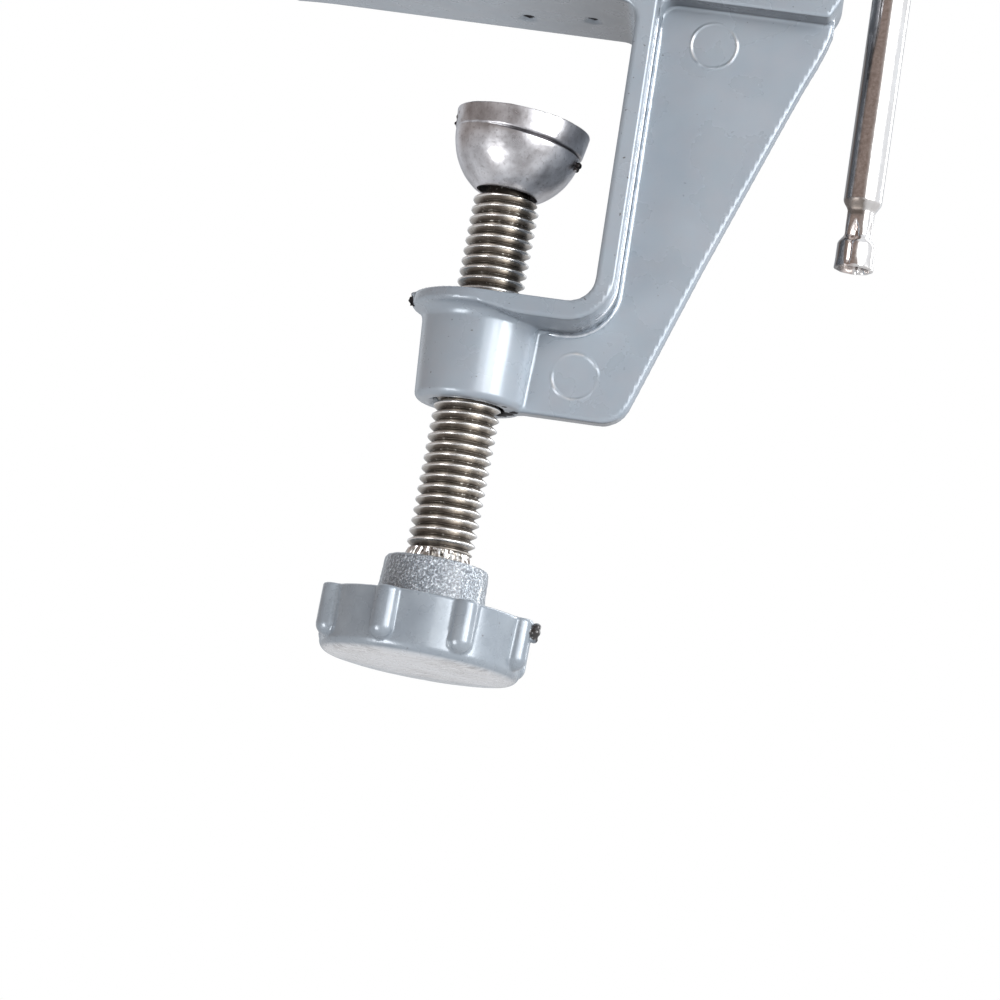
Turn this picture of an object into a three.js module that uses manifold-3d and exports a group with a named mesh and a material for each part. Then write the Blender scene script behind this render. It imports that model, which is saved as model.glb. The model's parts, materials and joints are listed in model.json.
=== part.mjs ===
// A small clamp-on bench vise: a die-cast frame whose C-shaped lower half grips a table edge
// with a hand screw and a swivel pad, and whose upper half carries a fixed jaw with an anvil
// and a jaw that slides on a T-rail, driven by a lead screw with a sliding tommy bar.
//
// Millimetres, +Z up, +X towards the user's side, where the tommy bar is. The origin lies on
// the bench face, the underside of the upper clamp arm, above the clamp screw's boss.

import * as THREE from 'three';
import { mergeVertices } from 'three/addons/utils/BufferGeometryUtils.js';
import Module from 'manifold-3d';

const wasm = await Module();
wasm.setup();

// ---------------------------------------------------------------- driving dimensions

const THREAD_R = 3.95;          // M8 thread, outside
const THREAD_BORE_R = 4.15;     // bore around a thread, with running room

// C-shaped clamp frame
const ARM_HALF_W = 8.75;        // half width of the C strip: upper arm, post and lower arm
const WEB_HALF_T = 1.65;        // half thickness of the gusset web
const KEEL_HALF_W = 4.4;        // half width of the keel that carries the rail
const THROAT_H = 36.1;          // from the bench face down to the lower arm
const POST_IN_X = 13.0;         // throat's back wall
const POST_T = 2.3;
const ARM_T = 2.4;              // lower arm
const UPPER_ARM_T = 4.0;
const BOSS_TOP_R = 6.9;
const BOSS_BOTTOM_R = 6.4;
const BOSS_BOTTOM_Z = -48.4;
const REAR_X = -46.0;           // back of the anvil
const FRONT_X = 35.9;           // front end of the rail and keel
const KEEL_BOTTOM_Z = 2.1;      // where the keel steps out from the web

// Rail, fixed jaw and anvil
const RAIL_HALF_W = 9.0;
const RAIL_Z = [9.0, 12.5];
const JAW_HALF_W = 20.0;
const JAW_TOP_Z = 40.0;
const FIXED_FACE_X = -10.5;     // casting face behind the fixed jaw plate
const FIXED_BACK_X = -24.0;
const ANVIL_HALF_W = 11.0;
const ANVIL_TOP_Z = 27.0;
const ARM_FLAT_X = -29.0;       // the bench face ends here and the arm rises towards the anvil
const REAR_BOTTOM_Z = 12.0;

// Sliding jaw
const PLATE_T = 2.5;
const REST_GAP = 2.5;           // between the two jaw plates at rest
const PLATE_HALF_W = 19.0;
const PLATE_Z = [25.6, 39.4];
const PLATE_SCREW_Y = 12.0;
const SLIDE_FACE_X = FIXED_FACE_X + 2 * PLATE_T + REST_GAP;
const SLIDE_FRONT_X = 33.5;
const SKIRT_Y = [9.35, 13.2];   // inner and outer side of each skirt
const SKIRT_BOTTOM_Z = 8.7;
const SKIRT_END_X = 30.0;
const KEEPER_T = 2.0;
const KEEPER_Y = [4.9, 13.0];
const KEEPER_SCREW_X = [3.0, 24.0];
const SLIDE_LIFT = 0.15;        // running room between the sliding jaw and the rail

// Lead screw and tommy bar
const LEAD_Z = 19.0;
const LEAD_TAIL_X = -42.0;
const JOURNAL_R = 4.0;
const HEAD_R = 5.5;
const HEAD_X = [35.1, 47.4];
const WASHER_X = [33.7, 34.9];
const CLIP_X = [23.5, 24.4];
const BAR_X = 41.9;
const BAR_R = 2.25;
const BAR_Z = [-25.2, 30.6];
const BAR_NECK_R = 1.5;
const BAR_NECK_L = 3.6;
const BAR_TIP_L = 2.9;
const BUSH_R = 6.4;
const BUSH_X = [-22.5, -10.45];

// Clamp screw, knob and pad, on an axis that leans with the play of the loose thread
const LEAN = THREE.MathUtils.degToRad(1.87);
const LEAN_PIVOT_Z = -46.0;
const PAD_TIP = THREE.MathUtils.degToRad(2.6);   // the pad's own tilt on the screw's ball
const BALL_Z = 27.0;            // ball centre above the lean pivot, along the screw
const BALL_R = 3.6;
const NECK_R = 2.6;
const PAD_TOP = 5.1;            // rim above the ball centre
const PAD_R = 8.0;
const HUB_TOP = -21.2;          // below the lean pivot
const HUB_R = 6.05;
const HUB_H = 5.1;
const KNOB_R = 11.9;
const KNOB_H = 7.1;
const KNOB_RIBS = 8;
const KNOB_RIB_R = 1.45;
const KNOB_RIB_H = 6.1;
const KNOB_RIB_TURN = THREE.MathUtils.degToRad(-66);

const ROUND = 32;               // segments of a full turn on the larger round pieces
const SMALL_ROUND = 16;

// Small parts
const M3_R = 1.45;
const M3_HEAD_R = 2.8;
const M3_HEAD_DEPTH = 1.6;
const PLATE_SCREW_Z = (PLATE_Z[0] + PLATE_Z[1]) / 2;
const GROOVE_STEP = 1.6;
const GROOVE_DEPTH = 0.3;
const LEAD_BORE_R = 4.6;        // clearance bore of the lead screw through the anvil
const GRUB_R = 1.5;
const GRUB_X = -17.0;
const KEEPER_SCREW_Y = 11.2;
const NOSE_R = 9.0;
const JOURNAL_X0 = 24.8;        // inner face of the nose wall that the retaining ring runs against
const CLIP_GROOVE_R = 3.1;
const PAD_DEPTH_BELOW = 3.9;    // pad's lowest rim below the ball centre
const RIVET_R = 2.2;
const PAD_WASHER_Z = [BALL_Z + 3.6, BALL_Z + 4.5];
const TOUCH = 0.02;             // gap between faces that bear on each other

// ---------------------------------------------------------------- materials

const finish = (color, roughness, metalness) => () =>
  new THREE.MeshStandardMaterial({ color, roughness, metalness });
const CAST_PAINT = finish(0xa3adb8, 0.4, 0.35);
const BARE_CAST = finish(0x8e8d92, 0.45, 0.8);
const PLATED = finish(0xb5b0a8, 0.25, 1.0);
const BLACKED = finish(0x3a3b3d, 0.45, 0.9);

// ---------------------------------------------------------------- solids and geometry

/** A closed geometry as a manifold solid. */
function solid(geometry) {
  const bare = geometry.clone();
  bare.deleteAttribute('normal');
  bare.deleteAttribute('uv');
  const merged = mergeVertices(bare, 1e-4);
  return new wasm.Manifold(new wasm.Mesh({
    numProp: 3,
    vertProperties: new Float32Array(merged.attributes.position.array),
    triVerts: new Uint32Array(merged.index.array),
  }));
}

/** A manifold solid as a geometry. */
function geometryOf(body) {
  const mesh = body.simplify(0.004).getMesh();
  const geometry = new THREE.BufferGeometry();
  geometry.setAttribute('position', new THREE.BufferAttribute(mesh.vertProperties, 3));
  geometry.setIndex(new THREE.BufferAttribute(mesh.triVerts, 1));
  geometry.computeVertexNormals();
  return geometry;
}

const join = (...bodies) => bodies.reduce((a, b) => a.add(b));
const cut = (body, ...tools) => tools.reduce((a, b) => a.subtract(b), body);

const extruded = (shape, depth) =>
  new THREE.ExtrudeGeometry(shape, { depth, bevelEnabled: false, curveSegments: 6 });

/** An XZ outline extruded along Y. */
function slabXZ(shape, from, to) {
  const geometry = extruded(shape, to - from);
  geometry.rotateX(Math.PI / 2);
  return solid(geometry.translate(0, to, 0));
}

/** A YZ outline extruded along X. */
function slabYZ(shape, from, to) {
  const geometry = extruded(shape, to - from);
  geometry.applyMatrix4(new THREE.Matrix4().makeBasis(
    new THREE.Vector3(0, 1, 0), new THREE.Vector3(0, 0, 1), new THREE.Vector3(1, 0, 0)));
  return solid(geometry.translate(from, 0, 0));
}

function block([x0, x1], [y0, y1], [z0, z1]) {
  const geometry = new THREE.BoxGeometry(x1 - x0, y1 - y0, z1 - z0);
  return solid(geometry.translate((x0 + x1) / 2, (y0 + y1) / 2, (z0 + z1) / 2));
}

/** A profile of [radius, height] points turned about +Z. */
function turned(profile, segments = ROUND) {
  const points = profile.map(([r, h]) => new THREE.Vector2(r, h));
  return solid(new THREE.LatheGeometry(points, segments).rotateX(Math.PI / 2));
}

const rod = (r, from, to, segments = ROUND) =>
  turned([[0, from], [r, from], [r, to], [0, to]], segments);

/** Turns a solid that stands along +Z so that it lies along +X. */
const alongX = (body) => body.rotate([0, 90, 0]);
const alongY = (body) => body.rotate([-90, 0, 0]);
const onLeadAxis = (body) => alongX(body).translate([0, 0, LEAD_Z]);

function outline(points) {
  return new THREE.Shape(points.map(([x, y]) => new THREE.Vector2(x, y)));
}

// ---------------------------------------------------------------- assembly

const vise = new THREE.Group();
const clampAxis = new THREE.Group();
clampAxis.position.set(0, 0, LEAN_PIVOT_Z);
clampAxis.rotation.y = LEAN;
vise.add(clampAxis);
const padTilt = new THREE.Group();
padTilt.position.z = BALL_Z;
padTilt.rotation.y = PAD_TIP;
clampAxis.add(padTilt);

function place(name, body, material, parent = vise) {
  const mesh = new THREE.Mesh(geometryOf(body), material());
  mesh.name = name;
  parent.add(mesh);
}

// ---------------------------------------------------------------- frame casting

/** The C strip: upper arm, post and lower arm, with the throat's rounded inner corners. */
function armStrip() {
  const postOut = POST_IN_X + POST_T;
  const low = -THROAT_H;
  const shape = new THREE.Shape();
  shape.moveTo(ARM_FLAT_X, 0).lineTo(POST_IN_X - 2, 0);
  shape.absarc(POST_IN_X - 2, -2, 2, Math.PI / 2, 0, true);
  shape.lineTo(POST_IN_X, low + 3);
  shape.absarc(POST_IN_X - 3, low + 3, 3, 0, -Math.PI / 2, true);
  shape.lineTo(0, low).lineTo(0, low - ARM_T).lineTo(postOut - 5, low - ARM_T);
  shape.absarc(postOut - 5, low - ARM_T + 5, 5, -Math.PI / 2, 0, false);
  shape.lineTo(postOut, UPPER_ARM_T).lineTo(ARM_FLAT_X, UPPER_ARM_T);
  return slabXZ(shape, -ARM_HALF_W, ARM_HALF_W);
}

/** The gusset web behind the post and under the lower arm, with its long sloping edge. */
function gussetWeb() {
  const shape = new THREE.Shape();
  shape.moveTo(2, -THROAT_H - 1).lineTo(2, BOSS_BOTTOM_Z).lineTo(14.9, BOSS_BOTTOM_Z);
  shape.quadraticCurveTo(17.8, BOSS_BOTTOM_Z, 19.2, -44.2);
  shape.lineTo(24.4, -29).lineTo(31.5, -9.7).lineTo(33.2, -5.2);
  shape.quadraticCurveTo(35.1, -0.7, FRONT_X - 0.1, KEEL_BOTTOM_Z + 1);
  shape.lineTo(POST_IN_X + 1, KEEL_BOTTOM_Z + 1).lineTo(POST_IN_X + 1, -THROAT_H - 1);
  return slabXZ(shape, -WEB_HALF_T, WEB_HALF_T);
}

/** Threaded boss with a flare into the lower arm, before its bore is cut. */
function clampBoss() {
  const top = -THROAT_H;
  return turned([
    [0, BOSS_BOTTOM_Z], [BOSS_BOTTOM_R - 0.7, BOSS_BOTTOM_Z], [BOSS_BOTTOM_R, BOSS_BOTTOM_Z + 0.7],
    [BOSS_TOP_R, top - ARM_T - 1.6], [BOSS_TOP_R + 0.5, top - ARM_T - 0.6], [ARM_HALF_W, top - ARM_T],
    [ARM_HALF_W, top - 0.6], [ARM_HALF_W - 0.6, top], [0, top],
  ]);
}

function keelAndRail() {
  const length = [FIXED_FACE_X - 1, FRONT_X];
  const keel = block(length, [-KEEL_HALF_W, KEEL_HALF_W], [KEEL_BOTTOM_Z, RAIL_Z[1] - 1]);
  const rail = block(length, [-RAIL_HALF_W, RAIL_HALF_W], RAIL_Z);
  return join(keel, rail);
}

/** Fixed jaw with shoulders that slope in to the arm, and the anvil behind it. */
function fixedJaw() {
  const jaw = slabYZ(outline([
    [-ARM_HALF_W, UPPER_ARM_T - 1], [ARM_HALF_W, UPPER_ARM_T - 1], [ARM_HALF_W, 10],
    [JAW_HALF_W, 21], [JAW_HALF_W, JAW_TOP_Z], [-JAW_HALF_W, JAW_TOP_Z], [-JAW_HALF_W, 21],
    [-ARM_HALF_W, 10],
  ]), FIXED_BACK_X, FIXED_FACE_X);
  const backSlope = slabXZ(outline([
    [FIXED_BACK_X - 1, ANVIL_TOP_Z + 3], [FIXED_BACK_X + 5, JAW_TOP_Z + 1], [FIXED_BACK_X - 1, JAW_TOP_Z + 1],
  ]), -JAW_HALF_W - 1, JAW_HALF_W + 1);
  const anvil = slabYZ(outline([
    [-ARM_HALF_W, 0], [ARM_HALF_W, 0], [ARM_HALF_W, 12],
    [ANVIL_HALF_W, 20], [ANVIL_HALF_W, ANVIL_TOP_Z], [-ANVIL_HALF_W, ANVIL_TOP_Z], [-ANVIL_HALF_W, 20],
    [-ARM_HALF_W, 12],
  ]), REAR_X, FIXED_BACK_X + 1);
  const rise = slabXZ(outline([
    [ARM_FLAT_X, -1], [ARM_FLAT_X, 0], [REAR_X - 1, REAR_BOTTOM_Z + 0.7], [REAR_X - 1, -1],
  ]), -ANVIL_HALF_W - 1, ANVIL_HALF_W + 1);
  return join(cut(jaw, backSlope), cut(anvil, rise));
}

/** Hole of the clamp screw through the boss, on the leaning axis. */
function clampBore() {
  const bore = rod(THREAD_BORE_R, -8, 14);
  return bore.rotate([0, THREE.MathUtils.radToDeg(LEAN), 0]).translate([0, 0, LEAN_PIVOT_Z]);
}

function frameCasting() {
  const leadBore = onLeadAxis(rod(LEAD_BORE_R, REAR_X - 1, FIXED_FACE_X + 1));
  const bushBore = onLeadAxis(rod(BUSH_R + 0.05, BUSH_X[0] - 0.05, FIXED_FACE_X + 1));
  const grubHole = alongY(rod(GRUB_R + 0.05, BUSH_R - 1, JAW_HALF_W + 1, SMALL_ROUND))
    .translate([GRUB_X, 0, LEAD_Z]);
  const body = join(armStrip(), gussetWeb(), clampBoss(), keelAndRail(), fixedJaw());
  return cut(body, clampBore(), leadBore, bushBore, grubHole, ...plateScrewHoles(FIXED_FACE_X));
}

/** Blind holes for the two screws of a jaw plate, centred on the casting face at x. */
function plateScrewHoles(x) {
  return [-PLATE_SCREW_Y, PLATE_SCREW_Y].map((y) =>
    alongX(rod(M3_R + 0.1, -8, 8, SMALL_ROUND)).translate([x, y, PLATE_SCREW_Z]));
}

place('frame_casting', frameCasting(), CAST_PAINT);

// ---------------------------------------------------------------- jaw plates and their screws

/** A jaw plate between x0 and x1, grooved across its gripping face, drilled and countersunk. */
function jawPlate(x0, facing) {
  const faceX = facing > 0 ? x0 + PLATE_T : x0;
  const plate = block([x0, x0 + PLATE_T], [-PLATE_HALF_W, PLATE_HALF_W], PLATE_Z);
  const grooves = [];
  for (let z = PLATE_Z[0] + GROOVE_STEP; z < PLATE_Z[1] - 1; z += GROOVE_STEP) {
    const groove = slabXZ(outline([
      [-GROOVE_DEPTH, 0], [GROOVE_DEPTH, -2 * GROOVE_DEPTH], [GROOVE_DEPTH, 2 * GROOVE_DEPTH],
    ]), -PLATE_HALF_W - 1, PLATE_HALF_W + 1);
    grooves.push((facing > 0 ? groove : groove.rotate([0, 180, 0])).translate([faceX, 0, z]));
  }
  const holes = [-PLATE_SCREW_Y, PLATE_SCREW_Y].map((y) => {
    const profile = [
      [0, -PLATE_T - 1], [M3_R + 0.1, -PLATE_T - 1], [M3_R + 0.1, -M3_HEAD_DEPTH - 0.1],
      [M3_HEAD_R + 0.25, 0], [M3_HEAD_R + 0.25, 1], [0, 1],
    ];
    const hole = alongX(turned(profile, SMALL_ROUND));
    return (facing > 0 ? hole : hole.rotate([0, 180, 0])).translate([faceX, y, PLATE_SCREW_Z]);
  });
  return cut(plate, ...grooves, ...holes);
}

/** A countersunk screw standing along +Z, its head's top at 0, with a hexagon socket. */
function countersunkScrew(length) {
  const body = turned([
    [0, -length], [M3_R - 0.3, -length], [M3_R, -length + 0.4], [M3_R, -M3_HEAD_DEPTH],
    [M3_HEAD_R, -0.15], [M3_HEAD_R, -0.02], [0, -0.02],
  ], SMALL_ROUND);
  return cut(body, rod(1.1, -1.1, 1, 6));
}

/** The screws of a jaw plate; facing is +1 where the plate's gripping face looks along +X. */
function placePlateScrews(prefix, faceX, facing) {
  for (const [side, y] of [['near', -PLATE_SCREW_Y], ['far', PLATE_SCREW_Y]]) {
    const screw = alongX(countersunkScrew(8));
    const turnedBack = facing > 0 ? screw : screw.rotate([0, 180, 0]);
    place(`${prefix}_screw_${side}`, turnedBack.translate([faceX, y, PLATE_SCREW_Z]), BLACKED);
  }
}

place('fixed_jaw_plate', jawPlate(FIXED_FACE_X + TOUCH, 1), PLATED);
placePlateScrews('fixed_plate', FIXED_FACE_X + TOUCH + PLATE_T, 1);
place('sliding_jaw_plate', jawPlate(SLIDE_FACE_X - PLATE_T - TOUCH, -1), PLATED);
placePlateScrews('sliding_plate', SLIDE_FACE_X - PLATE_T - TOUCH, -1);

// ---------------------------------------------------------------- sliding jaw

/** The sliding jaw's casting: jaw, sloping back, nose around the lead screw, and two skirts. */
function slidingJaw() {
  const base = RAIL_Z[1] + SLIDE_LIFT;
  const side = outline([
    [SLIDE_FACE_X, base], [SLIDE_FRONT_X - 3, base], [SLIDE_FRONT_X - 3, LEAD_Z + 5],
    [SLIDE_FACE_X + 20, LEAD_Z + 9.5], [SLIDE_FACE_X + 12, JAW_TOP_Z - 4],
    [SLIDE_FACE_X + 9, JAW_TOP_Z], [SLIDE_FACE_X, JAW_TOP_Z],
  ]);
  const jaw = slabYZ(outline([
    [-SKIRT_Y[1], base], [SKIRT_Y[1], base], [SKIRT_Y[1], 17], [JAW_HALF_W, 24], [JAW_HALF_W, JAW_TOP_Z],
    [-JAW_HALF_W, JAW_TOP_Z], [-JAW_HALF_W, 24], [-SKIRT_Y[1], 17],
  ]), SLIDE_FACE_X, SLIDE_FACE_X + 9.5);
  const back = slabXZ(side, -SKIRT_Y[1], SKIRT_Y[1]);
  const nose = onLeadAxis(rod(NOSE_R, SLIDE_FACE_X + 12, SLIDE_FRONT_X));
  const noseTrim = block([SLIDE_FACE_X, SLIDE_FRONT_X + 1], [-20, 20], [0, base]);
  const skirts = [-1, 1].map((s) => block(
    [SLIDE_FACE_X, SKIRT_END_X],
    s > 0 ? SKIRT_Y : [-SKIRT_Y[1], -SKIRT_Y[0]],
    [SKIRT_BOTTOM_Z, base + 1]));
  const pocket = block([SLIDE_FACE_X + 6, JOURNAL_X0], [-7.5, 7.5], [RAIL_Z[0], LEAD_Z + 6.6]);
  const bore = onLeadAxis(rod(THREAD_BORE_R + 0.2, SLIDE_FACE_X - 1, SLIDE_FRONT_X + 1));
  const keeperHoles = keeperScrewPlaces().map(([x, y]) =>
    rod(M3_R + 0.1, -1, 6, SMALL_ROUND).translate([x, y, SKIRT_BOTTOM_Z]));
  const body = join(jaw, back, cut(nose, noseTrim), ...skirts);
  return cut(body, pocket, bore, ...keeperHoles, ...plateScrewHoles(SLIDE_FACE_X));
}

function keeperScrewPlaces() {
  return KEEPER_SCREW_X.flatMap((x) => [[x, -KEEPER_SCREW_Y], [x, KEEPER_SCREW_Y]]);
}

/** A keeper strip under one side of the rail, with its two countersunk holes. */
function keeperStrip(side) {
  const top = SKIRT_BOTTOM_Z - TOUCH;
  const y = side > 0 ? KEEPER_Y : [-KEEPER_Y[1], -KEEPER_Y[0]];
  const strip = block([SLIDE_FACE_X + 0.5, SKIRT_END_X - 0.5], y, [top - KEEPER_T, top]);
  const holes = KEEPER_SCREW_X.map((x) => turned([
    [0, -1], [M3_HEAD_R + 0.25, -1], [M3_HEAD_R + 0.25, 0], [M3_R + 0.1, M3_HEAD_DEPTH + 0.1],
    [M3_R + 0.1, KEEPER_T + 1], [0, KEEPER_T + 1],
  ], SMALL_ROUND).translate([x, side * KEEPER_SCREW_Y, top - KEEPER_T]));
  return cut(strip, ...holes);
}

place('sliding_jaw', slidingJaw(), CAST_PAINT);
place('keeper_strip_near', keeperStrip(-1), BLACKED);
place('keeper_strip_far', keeperStrip(1), BLACKED);
for (const [x, y] of keeperScrewPlaces()) {
  const name = `keeper_screw_${x < 10 ? 'rear' : 'front'}_${y < 0 ? 'near' : 'far'}`;
  const screw = countersunkScrew(6.5).rotate([180, 0, 0]);
  place(name, screw.translate([x, y, SKIRT_BOTTOM_Z - TOUCH - KEEPER_T]), BLACKED);
}

// ---------------------------------------------------------------- lead screw and tommy bar

/** Lead screw along X: threaded tail, plain journal with the clip's groove, and a drilled head. */
function leadScrew() {
  const body = onLeadAxis(turned([
    [0, LEAD_TAIL_X], [THREAD_R - 0.8, LEAD_TAIL_X], [THREAD_R, LEAD_TAIL_X + 0.8],
    [THREAD_R, JOURNAL_X0 - 4], [JOURNAL_R, JOURNAL_X0 - 4], [JOURNAL_R, CLIP_X[0] - 0.15],
    [CLIP_GROOVE_R, CLIP_X[0] - 0.15], [CLIP_GROOVE_R, CLIP_X[1] + 0.15],
    [JOURNAL_R, CLIP_X[1] + 0.15], [JOURNAL_R, HEAD_X[0]], [HEAD_R - 0.6, HEAD_X[0]],
    [HEAD_R, HEAD_X[0] + 0.6], [HEAD_R, HEAD_X[1] - 1], [HEAD_R - 1, HEAD_X[1]], [0, HEAD_X[1]],
  ]));
  return cut(body, rod(BAR_R + 0.12, LEAD_Z - 8, LEAD_Z + 8).translate([BAR_X, 0, 0]));
}

const washer = (inner, outer, from, to, segments = ROUND) =>
  turned([[inner, from], [outer, from], [outer, to], [inner, to], [inner, from]], segments);

/** An open retaining ring that snaps into the lead screw's groove. */
function retainingRing() {
  const ring = washer(CLIP_GROOVE_R + 0.05, JOURNAL_R + 2.2, CLIP_X[0], CLIP_X[1]);
  const mouth = block([-2, 2], [0, 10], [CLIP_X[0] - 1, CLIP_X[1] + 1]);
  return onLeadAxis(cut(ring, mouth));
}

/** The bush that is the lead screw's nut: a threaded sleeve held in the fixed jaw. */
function threadedBush() {
  return onLeadAxis(washer(THREAD_BORE_R, BUSH_R, ...BUSH_X));
}

/** Set screw that locks the bush, lying along Y in the fixed jaw's side hole. */
function grubScrew() {
  const body = turned([
    [0, BUSH_R + 0.05], [GRUB_R - 0.5, BUSH_R + 0.05], [GRUB_R, BUSH_R + 0.6], [GRUB_R, BUSH_R + 5],
    [0, BUSH_R + 5],
  ], SMALL_ROUND);
  return alongY(cut(body, rod(0.8, BUSH_R + 3.4, BUSH_R + 6, 6))).translate([GRUB_X, 0, LEAD_Z]);
}

/** Tube of the tommy bar, pinched near both ends so that it can't leave the head. */
function tommyBar() {
  const [low, high] = BAR_Z;
  const neck = BAR_TIP_L + BAR_NECK_L;
  return turned([
    [0, low], [BAR_R - 0.25, low], [BAR_R, low + 0.3], [BAR_R, low + BAR_TIP_L - 0.6],
    [BAR_NECK_R, low + BAR_TIP_L + 0.6], [BAR_NECK_R, low + neck - 1.2], [BAR_R, low + neck],
    [BAR_R, high - neck], [BAR_NECK_R, high - neck + 1.2], [BAR_NECK_R, high - BAR_TIP_L - 0.6],
    [BAR_R, high - BAR_TIP_L + 0.6], [BAR_R, high - 0.3], [BAR_R - 0.25, high], [0, high],
  ], 24).translate([BAR_X, 0, 0]);
}

place('lead_screw', leadScrew(), PLATED);
place('thrust_washer', onLeadAxis(washer(JOURNAL_R + 0.1, HEAD_R + 0.4, ...WASHER_X)), PLATED);
place('retaining_ring', retainingRing(), BLACKED);
place('lead_nut_bush', threadedBush(), PLATED);
place('bush_set_screw', grubScrew(), BLACKED);
place('tommy_bar', tommyBar(), PLATED);

// ---------------------------------------------------------------- clamp screw, knob and pad

/** Clamp screw from the knob up through the boss to its ball and riveted tip. */
function clampScrew() {
  const shoulder = BALL_Z - PAD_DEPTH_BELOW - 0.5;
  return turned([
    [0, HUB_TOP - 6], [THREAD_R - 0.3, HUB_TOP - 6], [THREAD_R, HUB_TOP - 5.6],
    [THREAD_R, shoulder - 0.9], [NECK_R, shoulder], ...arc(0, BALL_Z, BALL_R, -46, 40, 8),
    [RIVET_R, BALL_Z + 2.4], [RIVET_R, PAD_WASHER_Z[1] + 0.05], [0, PAD_WASHER_Z[1] + 0.05],
  ]);
}

/** Points of an arc of radius r around (cx, cy), between two angles in degrees. */
function arc(cx, cy, r, from, to, steps) {
  return Array.from({ length: steps + 1 }, (_, i) => {
    const a = THREE.MathUtils.degToRad(from + ((to - from) * i) / steps);
    return [cx + r * Math.cos(a), cy + r * Math.sin(a)];
  });
}

/** The bowl-shaped pad around the ball, open above and below, about its own centre. */
function swivelPad() {
  const low = -PAD_DEPTH_BELOW;
  const shell = turned([
    [0, low], [4.2, low], [5.1, low + 0.9], [6.1, low + 2.2], [6.95, low + 3.8], [7.55, low + 5.6],
    [PAD_R - 0.15, PAD_TOP - 2.1], [PAD_R, PAD_TOP - 1.9], [PAD_R, PAD_TOP - 0.3],
    [PAD_R - 0.3, PAD_TOP], [0, PAD_TOP],
  ], 40);
  const socket = turned([
    [0, low - 1], [NECK_R + 1, low - 1], [NECK_R + 1, low + 1.2], ...arc(0, 0, BALL_R + 0.3, -25, 40, 6),
    [2.95, 2.75], [5.4, 2.75], [5.4, PAD_TOP + 1], [0, PAD_TOP + 1],
  ]);
  return cut(shell, socket);
}

/** Knob about the screw's axis: hub, rim with half-round grip ribs, and a slightly domed base. */
function clampKnob() {
  const top = HUB_TOP - HUB_H;
  const base = top - KNOB_H;
  const body = turned([
    [0, base - 0.5], [KNOB_R * 0.5, base - 0.35], [KNOB_R - 0.8, base], [KNOB_R, base + 0.8],
    [KNOB_R, top - 0.5], [KNOB_R - 0.5, top], [HUB_R + 0.4, top], [HUB_R, top + 0.4],
    [HUB_R, HUB_TOP - 0.4], [HUB_R - 0.4, HUB_TOP], [0, HUB_TOP],
  ], 40);
  const ribs = Array.from({ length: KNOB_RIBS }, (_, i) => {
    const rib = turned([
      [0, top - KNOB_RIB_H], [0.9, top - KNOB_RIB_H + 0.35], [KNOB_RIB_R, top - KNOB_RIB_H + 1.3],
      [KNOB_RIB_R, top - 0.5], [KNOB_RIB_R - 0.5, top], [0, top],
    ], 12);
    const a = KNOB_RIB_TURN + (i * 2 * Math.PI) / KNOB_RIBS;
    return rib.translate([Math.cos(a) * (KNOB_R - 0.15), Math.sin(a) * (KNOB_R - 0.15), 0]);
  });
  return cut(join(body, ...ribs), rod(THREAD_R + 0.05, HUB_TOP - 6.05, HUB_TOP + 1));
}

place('clamp_screw', clampScrew(), PLATED, clampAxis);
place('clamp_knob', clampKnob(), CAST_PAINT, clampAxis);
place('pad_washer', washer(RIVET_R + 0.05, 4.4, ...PAD_WASHER_Z, 24), PLATED, clampAxis);
place('swivel_pad', swivelPad(), BARE_CAST, padTilt);

export default vise;
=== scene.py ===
"""Looks of the clamp-on bench vise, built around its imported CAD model.

Shapes are worked out in millimetres in the row frame and become metres in the meshes. Cast
pieces are distance functions with true fillets, meshed by surface nets; turned and threaded
pieces are grids of rings. Every piece rides on its CAD body.
"""
import json
import math
import bpy
import numpy as np
from mathutils import Matrix, Vector


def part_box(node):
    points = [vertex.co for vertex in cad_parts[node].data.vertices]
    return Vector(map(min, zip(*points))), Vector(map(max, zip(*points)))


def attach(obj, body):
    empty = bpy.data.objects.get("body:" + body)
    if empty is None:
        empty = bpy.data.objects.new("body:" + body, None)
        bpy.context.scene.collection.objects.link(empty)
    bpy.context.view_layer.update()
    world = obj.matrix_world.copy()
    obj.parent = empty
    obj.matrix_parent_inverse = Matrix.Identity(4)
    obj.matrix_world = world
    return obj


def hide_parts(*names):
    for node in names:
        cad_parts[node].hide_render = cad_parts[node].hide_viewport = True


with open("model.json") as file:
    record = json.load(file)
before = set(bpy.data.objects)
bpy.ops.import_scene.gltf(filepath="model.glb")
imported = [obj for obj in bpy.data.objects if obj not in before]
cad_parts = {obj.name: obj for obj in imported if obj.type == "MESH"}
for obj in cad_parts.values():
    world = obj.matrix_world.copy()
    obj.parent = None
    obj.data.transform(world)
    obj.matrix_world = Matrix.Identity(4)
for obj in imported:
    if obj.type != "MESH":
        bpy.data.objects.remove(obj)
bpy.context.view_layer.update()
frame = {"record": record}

MM = 0.001


# ---------------- places taken from the frame

def node_box(node):
    """Lowest and highest corner of a CAD node at rest, in millimetres."""
    low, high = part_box(node)
    return np.array(low) / MM, np.array(high) / MM


def joint(name):
    return next(j for j in frame["record"]["behaviour"]["joints"] if j["name"] == name)


CLAMP_AXIS = np.array(joint("clamp_turn")["axis"])
CLAMP_PIVOT = np.array(joint("clamp_turn")["pos_m"]) / MM
LEAN = math.atan2(CLAMP_AXIS[0], CLAMP_AXIS[2])
BALL = np.array(joint("pad_tilt")["pos_m"]) / MM
LEAD_Z = joint("lead_turn")["pos_m"][2] / MM

frame_low, frame_high = node_box("frame_casting")
slide_low, slide_high = node_box("sliding_jaw")
rear_x, front_x = frame_low[0], frame_high[0]
jaw_half_w = frame_high[1]
jaw_top = frame_high[2]
boss_bottom = frame_low[2]

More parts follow.
